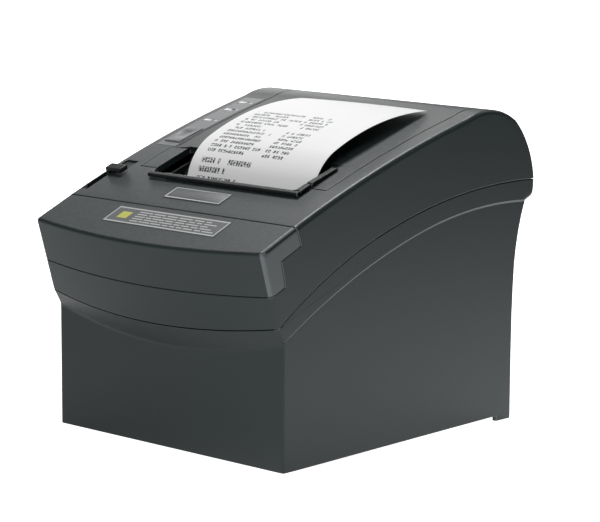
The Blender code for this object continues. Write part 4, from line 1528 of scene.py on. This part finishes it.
# ---------------------------------------------------------------- release lever
@dataclass
class ReleaseLever:
    """Lever that frees the roll cover, with a ribbed thumb tab."""

    pivot: Point2 = (-0.046, 0.092)
    arm_left: float = -0.0690
    arm_right: float = -0.0672
    tab_left: float = -0.0690
    tab_right: float = -0.0585
    bore: float = 0.0023
    tab_middle: float = -0.0455
    groove_front: float = -0.0469
    groove_pitch: float = 0.0011
    groove_width: float = 0.0004
    groove_end: float = 0.0012
    # Place and size of the black pad that paints shade on the finger recess's floor.
    shade_pad_place: Point2 = (-0.0650, -0.0393)
    shade_pad_size: Point2 = (0.0098, 0.0073)

    def build(self) -> None:
        """Make the lever with its arm, tab, grooves and bore as one piece, and the black pad behind it,
        painted shade on the finger recess's floor.
        """
        y = self.tab_middle
        top = height_on(FORM.top_line, y)
        slope = FORM.slope_at(y)
        outline = round_points(self.pivot, 0.0050, 190, 350, 16)
        outline += [(-0.0435, top), (-0.0435, top + 0.0012), (-0.0478, top + 0.0012), (-0.0478, top)]
        arm = plate("release_lever", outline, self.arm_left, self.arm_right, Finish.BLACK)
        tab = block("tab", (self.tab_left, -0.0480, top + 0.0008), (self.tab_right, -0.0430, top + 0.0030),
                    Finish.BLACK, slope, (y, top), 0.0006, 4)
        join(arm, tab)
        for i in range(3):
            front = self.groove_front + i * self.groove_pitch
            groove = block("groove", (self.tab_left + self.groove_end, front, top + 0.00285),
                           (self.tab_right - self.groove_end, front + self.groove_width, top + 0.004),
                           Finish.BLACK, slope, (y, top))
            cut(arm, groove)
        cut(arm, Casing.rod("bore", self.pivot, -0.08, -0.06, self.bore))
        put(shade(arm, 40), Body.LEVER, "open_lever", slot="black_plastic")
        # Painted shade: a black sheet on the finger recess's floor darkens the recess.
        pad = FORM.top_block("finger_pad", *self.shade_pad_place, *self.shade_pad_size, -0.0011, -0.0008, Finish.BLACK)
        put(pad, Body.CHASSIS, slot="black_plastic")


# ---------------------------------------------------------------- paper
def ribbon(line: Sequence[Point2], thickness: float) -> tuple[list[Point2], list[Point2]]:
    """The two edges of a thin strip in side view.

    Args:
        line: the strip's centre line.
        thickness: how thick it is.

    Returns:
        The upper edge's points and the lower edge's points.
    """
    upper, lower = [], []
    for i, point in enumerate(line):
        along = (Vector(line[min(len(line) - 1, i + 1)]) - Vector(line[max(0, i - 1)])).normalized()
        side = Vector((-along.y, along.x)) * thickness / 2
        upper.append(tuple(Vector(point) + side))
        lower.append(tuple(Vector(point) - side))
    return upper, lower


@dataclass
class Receipt:
    """The printed strip that curls back over the roll cover."""

    left: float = -0.033
    width: float = 0.0795
    thickness: float = 0.00012
    across: int = 12
    lift: float = 0.0005

    def centre_line(self) -> list[Point2]:
        """Side-view line of the strip from the cutter to its torn end."""
        return ([(-0.0316, 0.1066), (-0.0314, 0.1082), (-0.0312, 0.1099), (-0.0309, 0.1118),
                 (-0.0305, 0.1138)]
                + arc((-0.0300, 0.1160), (-0.0240, 0.1270), (-0.0150, 0.1335), 18)
                + arc((-0.0150, 0.1335), (0.0110, 0.1427), (0.0470, 0.1465), 40) + [(0.0470, 0.1465)])

    def build(self) -> None:
        """Make the strip as a thin closed solid with a UV map in metres, across and back from its end."""
        line = self.centre_line()
        runs = [0.0]
        for a, b in zip(line, line[1:]):
            runs.append(runs[-1] + (Vector(b) - Vector(a)).length)
        total = runs[-1]
        bm = bmesh.new()
        uv = bm.loops.layers.uv.new("strip")
        columns = self.across
        place = {}
        grid = []
        for edge in ribbon(line, self.thickness):
            rows = []
            for (y, z), run in zip(edge, runs):
                row = []
                for i in range(columns + 1):
                    share = i / columns
                    curl = self.lift * (2 * share - 1) ** 2 * (run / total) ** 2
                    row.append(bm.verts.new((self.left + self.width * share, y, z - curl)))
                    place[row[-1]] = (self.width * i / columns, run)
                rows.append(row)
            grid.append(rows)
        last = len(line) - 1
        for rows in grid:
            for r in range(last):
                for i in range(columns):
                    bm.faces.new((rows[r][i], rows[r][i + 1], rows[r + 1][i + 1], rows[r + 1][i]))
        top, under = grid
        for r in range(last):
            for i in (0, columns):
                bm.faces.new((top[r][i], top[r + 1][i], under[r + 1][i], under[r][i]))
        for i in range(columns):
            for r in (0, last):
                bm.faces.new((top[r][i], top[r][i + 1], under[r][i + 1], under[r][i]))
        for face in bm.faces:
            for loop in face.loops:
                loop[uv].uv = place[loop.vert]
        item = shade(mesh_object("receipt_strip", bm, Finish.RECEIPT), 40)
        put(item, Body.ROLL_COVER, "receipt_paper", slot="thermal_paper")


@dataclass
class PaperRoll:
    """The supply roll with its wound ends."""

    left: float = -0.033
    right: float = 0.0465
    centre: Point2 = (0.022, 0.062)
    radius: float = 0.040
    core: float = 0.0066
    rings: int = 26

    def build(self) -> None:
        """Make the roll with shallow winding steps in its ends."""
        inner = self.core + 0.00015
        spacing = (self.radius - inner) / self.rings
        end = []
        for i in range(self.rings):
            depth = 0.00012 if i % 2 else 0.0
            end.append((depth, inner + spacing * i))
            end.append((depth, inner + spacing * (i + 0.94)))
        width = self.right - self.left
        profile = end + [(0.0, self.radius - 0.0002), (0.0002, self.radius), (width - 0.0002, self.radius),
                         (width, self.radius - 0.0002)]
        profile += [(width - along, radius) for along, radius in reversed(end)] + [end[0]]
        roll = turned("roll_windings", (self.left, *self.centre), (self.right, *self.centre), profile,
                      Finish.PAPER, 96)
        put(roll, Body.ROLL, "paper_roll", slot="thermal_paper")


# ---------------------------------------------------------------- print mechanism
@dataclass
class Gear:
    """A nylon spur gear along X, grown from one tooth and a ribbed web."""

    name: str
    node: str
    body: Body
    centre: Point2
    left: float
    right: float
    radius: float
    teeth: int
    bore: float
    depth: float = 0.0011

    def build(self) -> None:
        """Make the toothed ring by Geometry Nodes and join it to a turned hub."""
        root = self.radius - self.depth
        step = 2 * math.pi / self.teeth
        outline = []
        for share, reach in ((0.02, root - 0.0004), (0.10, root), (0.30, self.radius - 0.0002),
                             (0.36, self.radius), (0.64, self.radius), (0.70, self.radius - 0.0002),
                             (0.90, root), (0.98, root - 0.0004)):
            outline.append((reach * math.cos(step * share), reach * math.sin(step * share)))
        tooth = plate(f"{self.name}_teeth", outline, self.left, self.right, Finish.NYLON)
        centre = (0.0, *self.centre)
        grow(tooth, ring_tree(f"{self.name} ring", Finish.NYLON), Count=self.teeth, Centre=centre)
        width = self.right - self.left
        bore = self.bore or 0.0005
        profile = [(0.0, bore), (0.0, bore + 0.0012), (width * 0.2, bore + 0.0013),
                   (width * 0.2, root * 0.80), (0.0, root * 0.86), (0.0, root - 0.0001),
                   (width, root - 0.0001), (width, root * 0.86), (width * 0.8, root * 0.80),
                   (width * 0.8, bore + 0.0013), (width, bore + 0.0012), (width, bore), (0.0, bore)]
        if root * 0.80 < bore + 0.0014:
            profile = [(0.0, bore), (0.0, root - 0.0001), (width, root - 0.0001), (width, bore), (0.0, bore)]
        hub = turned(f"{self.name}_hub", (self.left, *self.centre), (self.right, *self.centre), profile,
                     Finish.NYLON, self.teeth * 4)
        put(tooth, self.body, slot="gear_nylon")
        put(hub, self.body, self.node, slot="gear_nylon")


@dataclass
class Mechanism:
    """Gears and motors of the print and cutting mechanism."""

    platen: Point2 = (-0.022, 0.096)
    idler: Point2 = (-0.016, 0.0823)
    feed: Point2 = (-0.014, 0.0720)
    cutter: Point2 = (-0.052, 0.1009)
    gear_left: float = -0.0520
    gear_right: float = -0.0475

    def motor(self, name: str, node: str, centre: Point2, left: float, right: float, radius: float,
              shaft_end: float, shaft: float) -> None:
        """A can motor: a can with rolled ends, a face boss and its shaft, all turned as one.

        Args:
            name: the piece's name.
            node: the CAD node that it replaces.
            centre: the axis's (y, z).
            left: the can's left end.
            right: its right end.
            radius: its radius.
            shaft_end: where the shaft ends, on either side.
            shaft: the shaft's radius.
        """
        toward = shaft_end > right
        start, end = (left, shaft_end) if toward else (right, shaft_end)
        length = right - left
        reach = abs(shaft_end - start)
        profile = [(0.0, radius * 0.35), (0.0, radius - 0.0008), (0.0008, radius), (length - 0.0008, radius),
                   (length, radius - 0.0008), (length, radius * 0.42), (length + 0.0004, radius * 0.40),
                   (length + 0.0004, shaft + 0.0002), (reach - 0.0002, shaft), (reach, shaft - 0.0003)]
        item = turned(name, (start, *centre), (end, *centre), profile, Finish.ZINC, 64)
        put(item, Body.CHASSIS, node, slot="zinc_steel")

    def build(self) -> None:
        """Make the gears and the motors."""
        for name, node, body, centre, radius, teeth, bore in (
                ("platen_wheel", "platen_gear", Body.PLATEN, self.platen, 0.0078, 24, 0.0025),
                ("idler_wheel", "idler_gear", Body.IDLER, self.idler, 0.0067, 20, 0.0021),
                ("pinion_wheel", "motor_pinion", Body.PINION, self.feed, 0.0032, 10, 0.0)):
            Gear(name, node, body, centre, self.gear_left, self.gear_right, radius, teeth, bore).build()
        Gear("cutter_wheel", "cutter_gear", Body.CUTTER, self.cutter, 0.0480, 0.0518, 0.0039, 12, 0.0).build()
        self.motor("feed_can", "feed_motor", self.feed, -0.0685, -0.0560, 0.0150, self.gear_left - 0.0005,
                   0.0020)
        self.motor("cutter_can", "cutter_motor", self.cutter, 0.0570, 0.0685, 0.0085, 0.0525, 0.0015)


# ---------------------------------------------------------------- rear connectors and underside
@dataclass
class RearPanel:
    """Socket contacts, panel screws and a softly rounded power rocker."""

    board_top: float = 0.0096
    gap: float = 0.0003
    network: Point2 = (-0.0340, 0.0132)
    usb: Point2 = (-0.0140, 0.0108)
    drawer: Point2 = (0.0040, 0.0128)
    inlet: Point2 = (0.0220, 0.0140)
    rocker: tuple[float, float, float] = (0.0390, 0.0775, 0.0185)

    def row(self, name: str, x: float, z: float, count: int, pitch: float, width: float) -> None:
        """A row of gilt contacts across a socket, set out by Geometry Nodes.

        Args:
            name: the piece's name.
            x: the row's middle across.
            z: the row's height.
            count: how many contacts there are.
            pitch: how far apart they are.
            width: how wide each one is.
        """
        first = x - pitch * (count - 1) / 2
        pin = block(name, (first - width / 2, 0.0652, z - 0.0003), (first + width / 2, 0.0720, z + 0.0002),
                    Finish.GOLD, 0.0, (0.0652, z), 0.0001, 1)
        grow(pin, row_tree(f"{name} row", Finish.GOLD), Count=count, Offset=(pitch, 0.0, 0.0))
        put(pin, Body.CHASSIS, slot="blade_steel")

    def build(self) -> None:
        """Make the contacts, the screws and the rocker."""
        def middle(socket: Point2) -> float:
            """Height of a socket's middle."""
            return self.board_top + self.gap + socket[1] / 2

        self.row("network_contacts", self.network[0], middle(self.network) + 0.0030, 8, 0.00102, 0.0005)
        self.row("drawer_contacts", self.drawer[0], middle(self.drawer) + 0.0026, 6, 0.00127, 0.0006)
        usb_x, usb_z = self.usb[0], middle(self.usb)
        tongue = block("usb_tongue", (usb_x - 0.0028, 0.0652, usb_z - 0.0016),
                       (usb_x + 0.0028, 0.0745, usb_z + 0.0016), Finish.BLACK, 0.0, (0.07, 0.0152), 0.0003, 2)
        put(tongue, Body.CHASSIS, slot="black_plastic")
        pin_z = middle(self.inlet)
        for number, (dx, dz) in enumerate(((-0.0022, -0.0014), (0.0022, -0.0014), (0.0, 0.0020)), 1):
            pin = turned(f"inlet_pin_{number}", (self.inlet[0] + dx, 0.0652, pin_z + dz),
                         (self.inlet[0] + dx, 0.0742, pin_z + dz),
                         [(0.0, 0.0006), (0.0084, 0.0006), (0.0090, 0.0002)], Finish.GOLD, 16)
            put(pin, Body.CHASSIS, slot="blade_steel")
        for number, x in enumerate((-0.0455, 0.0475), 1):
            screw = pan_screw(f"panel_screw_{number}", (x, 0.0743, 0.0140), (0.0, 1.0, 0.0), 0.0017)
            put(screw, Body.CHASSIS, slot="zinc_steel")
        x, y, z = self.rocker
        outline = round_points((y - 0.0030, z), 0.0046, -55, 55, 20)
        outline += [(y - 0.0070, z + 0.0030), (y - 0.0070, z - 0.0030)]
        rocker = round_off(plate("rocker_cap", outline, x - 0.0062, x + 0.0062, Finish.BLACK), 0.0004, 3, 25)
        put(rocker, Body.ROCKER, "power_rocker", slot="black_plastic")


def pan_screw(name: str, place: Sequence[float], way: Sequence[float], radius: float) -> Piece:
    """A domed screw head with a cross recess.

    Args:
        name: the piece's name.
        place: the middle of its seat.
        way: the direction that it faces.
        radius: the head's radius.

    Returns:
        The new object.
    """
    start = Vector(place)
    axis = Vector(way).normalized()
    height = radius * 0.55
    profile = [(0.0, 0.0), (0.0, radius), (height * 0.35, radius * 0.98), (height * 0.75, radius * 0.74),
               (height * 0.96, radius * 0.40), (height, 0.00005)]
    head = turned(name, start, start + axis * height, [(a, max(r, 0.00002)) for a, r in profile],
                  Finish.ZINC, 32)
    turn = Vector((0, 0, 1)).rotation_difference(axis).to_matrix().to_4x4()
    for angle in (math.pi / 4, -math.pi / 4):
        slot = block("cross", (-radius * 0.55, -radius * 0.11, height * 0.45),
                     (radius * 0.55, radius * 0.11, height * 2), Finish.ZINC)
        slot.data.transform(Matrix.Translation(start) @ turn @ Matrix.Rotation(angle, 4, "Z"))
        cut(head, slot)
    return shade(head, 35)


@dataclass
class Underside:
    """Ribbed rubber feet and recessed screws under the base plate."""

    feet: tuple[tuple[str, float, float], ...] = (
        ("front_left", -0.056, -0.060), ("front_right", 0.056, -0.060), ("rear_left", -0.056, 0.060),
        ("rear_right", 0.056, 0.060))
    foot_radius: float = 0.0070
    foot_height: float = 0.0031
    screw_place: Point2 = (0.062, 0.040)
    screw_radius: float = 0.0028

    def build(self) -> None:
        """Make the feet with turned grooves, and the base screws with cross recesses."""
        r, h = self.foot_radius, self.foot_height
        for name, x, y in self.feet:
            profile = [(0.0, 0.0012), (0.0, 0.0020), (0.0004, 0.0024), (0.0004, 0.0034), (0.0, 0.0038),
                       (0.0, r - 0.0010), (0.0003, r - 0.0003), (0.0010, r), (h, r)]
            foot = turned(f"foot_pad_{name}", (x, y, 0.0), (x, y, h), profile, Finish.FOOT, 48)
            put(foot, Body.CHASSIS, f"foot_{name}", slot="foot_rubber")
        x, y = self.screw_place
        for number, (sx, sy) in enumerate(((-1, -1), (-1, 1), (1, -1), (1, 1)), 1):
            screw = pan_screw(f"base_screw_head_{number}", (sx * x, sy * y, h), (0, 0, -1), self.screw_radius)
            put(screw, Body.CHASSIS, slot="zinc_steel")


# ---------------------------------------------------------------- labels
@dataclass
class NoseLabel:
    """Film label on the nose cover, with a light border, a yellow mark and rows of plain bars."""

    left: float = -0.034
    right: float = 0.037
    front: float = -0.083
    rear: float = -0.071
    thickness: float = 0.00012
    ink: float = 0.00004
    border: float = 0.0004
    border_width: float = 0.0007
    yellow: Point2 = (-0.0282, -0.0222)
    yellow_inset: float = 0.0036
    rows: int = 5
    first_row: float = 0.0023
    row_pitch: float = 0.0017
    bar_height: float = 0.0006
    bars_left: float = -0.0185
    bars_right: float = 0.028

    def slab(self, name: str, x0: float, x1: float, y0: float, y1: float, low: float, high: float,
             finish: Finish) -> Piece:
        """A thin piece that lies on the nose's flat top.

        Args:
            name: the piece's name.
            x0: its left side.
            x1: its right side.
            y0: its front.
            y1: its rear.
            low: its underside's height over the surface.
            high: its top's height over the surface.
            finish: what it is made of.

        Returns:
            The new object.
        """
        form = FORM
        slope = math.atan(form.nose_slope)

        def surface(y: float) -> float:
            """Height of the nose's top at y."""
            return form.top_line[0][1] + (y - form.top_line[0][0]) * form.nose_slope

        outline = []
        for y, height in ((y0, low), (y1, low), (y1, high), (y0, high)):
            outline.append((y - height * math.sin(slope), surface(y) + height * math.cos(slope)))
        return plate(name, outline, x0, x1, finish)

    def build(self) -> None:
        """Make the label, its border and its marks."""
        t = self.thickness
        put(self.slab("nose_label", self.left, self.right, self.front, self.rear, 0.00002, t, Finish.LABEL),
            Body.NOSE, slot="grey_overlay")
        edge, line = self.border, self.border_width
        border = self.slab("nose_label_border", self.left + edge, self.right - edge, self.front + edge,
                           self.rear - edge, t, t + self.ink, Finish.INK)
        hole = self.slab("hole", self.left + edge + line, self.right - edge - line, self.front + edge + line,
                         self.rear - edge - line, t - 0.001, t + 0.001, Finish.INK)
        put(cut(border, hole), Body.NOSE, slot="lens_clear")
        put(self.slab("nose_label_yellow", *self.yellow, self.front + self.yellow_inset,
                      self.rear - self.yellow_inset, t, t + self.ink, Finish.YELLOW),
            Body.NOSE, slot="lens_clear")
        chooser = random.Random(7)
        bars = None
        for row in range(self.rows):
            y0 = self.front + self.first_row + row * self.row_pitch
            x0 = self.bars_left
            while x0 < self.bars_right:
                x1 = x0 + chooser.uniform(0.003, 0.009)
                bar = self.slab("nose_label_bars" if bars is None else "bar", x0, x1, y0,
                                y0 + self.bar_height, t, t + self.ink, Finish.INK)
                bars = bar if bars is None else join(bars, bar)
                x0 = x1 + chooser.uniform(0.0008, 0.0016)
        put(bars, Body.NOSE, slot="lens_clear")


@dataclass
class Nameplate:
    """Plain blank plate on the nose side of the paper exit."""

    width: float = 0.0352
    length: float = 0.0095
    y: float = -0.0558
    rim: float = 0.0006

    def build(self) -> None:
        """Make the plate and the light frame round it."""
        item = FORM.top_block("blank_plate", 0.0, self.y, self.length, self.width, 0.00002, 0.00025,
                              Finish.LABEL, 0.0001, 2)
        put(item, Body.CHASSIS, slot="grey_overlay")
        frame_piece = FORM.top_block("plate_frame", 0.0, self.y, self.length - self.rim,
                                     self.width - self.rim, 0.00025, 0.00034, Finish.INK)
        inner = FORM.top_block("inner", 0.0, self.y, self.length - 3 * self.rim, self.width - 3 * self.rim,
                               -0.001, 0.002, Finish.INK)
        put(cut(frame_piece, inner), Body.CHASSIS, slot="lens_clear")


# ---------------------------------------------------------------- carried-over CAD nodes
CARRIED: dict[Finish, str] = {
    Finish.ZINC: """base_plate mech_side_left mech_side_right mech_cross_bar head_pivot_pin rear_panel
                    usb_port network_port hinge_pin_left hinge_pin_right lever_shaft platen_shaft
                    base_screw_1 base_screw_2 base_screw_3 base_screw_4""",
    Finish.BLACK: "paper_bucket power_inlet drawer_port roll_cover_liner",
    Finish.BLADE: "head_spring_left head_spring_right fixed_blade moving_blade",
    Finish.BOARD: "panel_board main_board",
    Finish.NYLON: "platen_bush_left platen_bush_right",
    Finish.PAPER: "paper_web",
    Finish.RUBBER: "platen_rubber",
    Finish.ALUMINIUM: "head_heatsink",
    Finish.CERAMIC: "head_board",
    Finish.CARD: "roll_core",
}


def dress_carried_nodes() -> None:
    """Give each CAD node that stays visible its finish."""
    for finish, names in CARRIED.items():
        for name in names.split():
            item = bpy.data.objects[name]
            item.data.materials.clear()
            item.data.materials.append(finish.material())
            LOG.info("%s: dressed in %s", name, finish.value.name)


# ---------------------------------------------------------------- stage
@dataclass
class Stage:
    """White floor, bright surroundings, soft lights and the camera."""

    target: tuple[float, float, float] = (-0.004164, 0.015389, 0.073720)
    azimuth: float = 43.3761
    elevation: float = 9.4725
    roll: float = 0.2317
    distance: float = 1.2930
    lens: float = 165.19
    floor_glow: float = 0.92
    surroundings: float = 0.13
    near_glow: float = 1.05
    glow_centre: tuple[float, float, float] = (0.20, 0.14, 0.0)
    glow_start: float = 0.16
    glow_end: float = 0.50
    shade_start: float = 0.35
    shade_end: float = 0.80
    foot_shade: tuple[float, float, float] = (-0.04, -0.09, 0.0)
    foot_shade_start: float = 0.04
    foot_shade_end: float = 0.12
    away: tuple[float, float, float] = (0.68, 0.73, 0.0)
    floor_tone: Colour = (0.90, 0.90, 0.90)
    shaded_tone: Colour = (0.25, 0.25, 0.25)
    sky: Colour = (0.93, 0.97, 1.0)

    def floor(self) -> None:
        """A wide pale floor: evenly bright to look at, and lighting the printer only from close by.

        Its glow and its tone differ between what the camera sees and what lights the printer.
        """
        material = bpy.data.materials.new("pale floor")
        material.use_nodes = True
        shader = material.node_tree.nodes["Principled BSDF"]
        shader.inputs["Roughness"].default_value = 0.9
        shader.inputs["Emission Color"].default_value = (1.0, 1.0, 1.0, 1.0)
        tree = material.node_tree
        path = tree.nodes.new("ShaderNodeLightPath")
        place = tree.nodes.new("ShaderNodeTexCoord")

        def measure(operation: str, against: Sequence[float]) -> Socket:
            """Measure the floor's own point against another vector.

            Args:
                operation: how it is measured.
                against: the other vector.

            Returns:
                The result socket.
            """
            node = tree.nodes.new("ShaderNodeVectorMath")
            node.operation = operation
            tree.links.new(place.outputs["Object"], node.inputs[0])
            node.inputs[1].default_value = against
            return node.outputs["Value"]

        near = ramp_node(tree, measure("DISTANCE", self.glow_centre), self.glow_end, self.glow_start)
        mix = tree.nodes.new("ShaderNodeMix")
        mix.inputs[3].default_value = self.floor_glow
        tree.links.new(path.outputs["Is Camera Ray"], mix.inputs["Factor"])
        tree.links.new(math_node(tree, "MULTIPLY", near, self.near_glow), mix.inputs[2])
        tree.links.new(mix.outputs[0], shader.inputs["Emission Strength"])
        open_floor = ramp_node(tree, measure("DOT_PRODUCT", self.away), self.shade_end, self.shade_start)
        clear = ramp_node(tree, measure("DISTANCE", self.foot_shade), self.foot_shade_start,
                          self.foot_shade_end)
        seen = math_node(tree, "MAXIMUM", math_node(tree, "MULTIPLY", open_floor, clear),
                         path.outputs["Is Camera Ray"])
        tree.links.new(mix_colour(tree, seen, self.shaded_tone, self.floor_tone), shader.inputs["Base Color"])
        bm = bmesh.new()
        bmesh.ops.create_grid(bm, x_segments=1, y_segments=1, size=12.0)
        mesh = bpy.data.meshes.new("floor")
        bm.to_mesh(mesh)
        bm.free()
        mesh.materials.append(material)
        item = bpy.data.objects.new("floor", mesh)
        bpy.context.scene.collection.objects.link(item)

    def light(self, name: str, place: Sequence[float], size: float, power: float) -> None:
        """A square soft light aimed at the printer, which the camera does not see.

        Args:
            name: the light's name.
            place: where it is.
            size: the length of its side.
            power: its power in watts.
        """
        lamp = bpy.data.lights.new(name, "AREA")
        lamp.shape = "SQUARE"
        lamp.size = size
        lamp.energy = power
        item = bpy.data.objects.new(name, lamp)
        item.location = place
        item.rotation_euler = (Vector(self.target) - Vector(place)).to_track_quat("-Z", "Y").to_euler()
        item.visible_camera = False
        bpy.context.scene.collection.objects.link(item)

    def world(self) -> None:
        """Even, slightly cool surroundings."""
        world = bpy.data.worlds.new("surroundings")
        world.use_nodes = True
        background = world.node_tree.nodes["Background"]
        background.inputs["Color"].default_value = (*self.sky, 1.0)
        background.inputs["Strength"].default_value = self.surroundings
        bpy.context.scene.world = world

    def camera(self) -> None:
        """The camera, looking down at the printer's front right corner."""
        a, e, r = (math.radians(v) for v in (self.azimuth, self.elevation, self.roll))
        back = Vector((math.sin(a) * math.cos(e), -math.cos(a) * math.cos(e), math.sin(e)))
        right = Vector((math.cos(a), math.sin(a), 0.0))
        up = back.cross(right)
        turned_right = right * math.cos(r) + up * math.sin(r)
        turned_up = up * math.cos(r) - right * math.sin(r)
        camera = bpy.data.cameras.new("camera")
        camera.lens = self.lens
        camera.sensor_width = 36.0
        camera.clip_start = 0.05
        item = bpy.data.objects.new("camera", camera)
        axes = Matrix((turned_right, turned_up, back)).transposed().to_4x4()
        item.matrix_world = Matrix.Translation(Vector(self.target) + back * self.distance) @ axes
        bpy.context.scene.collection.objects.link(item)
        bpy.context.scene.camera = item

    def build(self) -> None:
        """Set up the whole stage."""
        bpy.context.scene.view_settings.view_transform = "Standard"
        self.world()
        self.floor()
        self.light("key light", (-0.58, 0.56, 1.52), 0.5, 19.0)
        self.light("rear glow", (-1.75, 1.30, 0.75), 0.9, 6.4)
        self.light("edge light", (0.10, 1.05, 1.08), 0.3, 1.2)
        self.light("front fill", (0.35, -1.10, 0.75), 0.6, 9.0)
        self.camera()


def main() -> None:
    """Build the printer round its frame, from the stage inward."""
    logging.basicConfig(level=logging.INFO, format="%(name)s %(message)s")
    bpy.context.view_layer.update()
    Stage().build()
    panel = OperatorPanel()
    Casing().build(panel)
    panel.build()
    for make in (PaperExit, ReleaseLever, Receipt, PaperRoll, Mechanism, RearPanel, Underside, NoseLabel,
                 Nameplate):
        make().build()
    dress_carried_nodes()


if __name__ == "__main__":
    main()
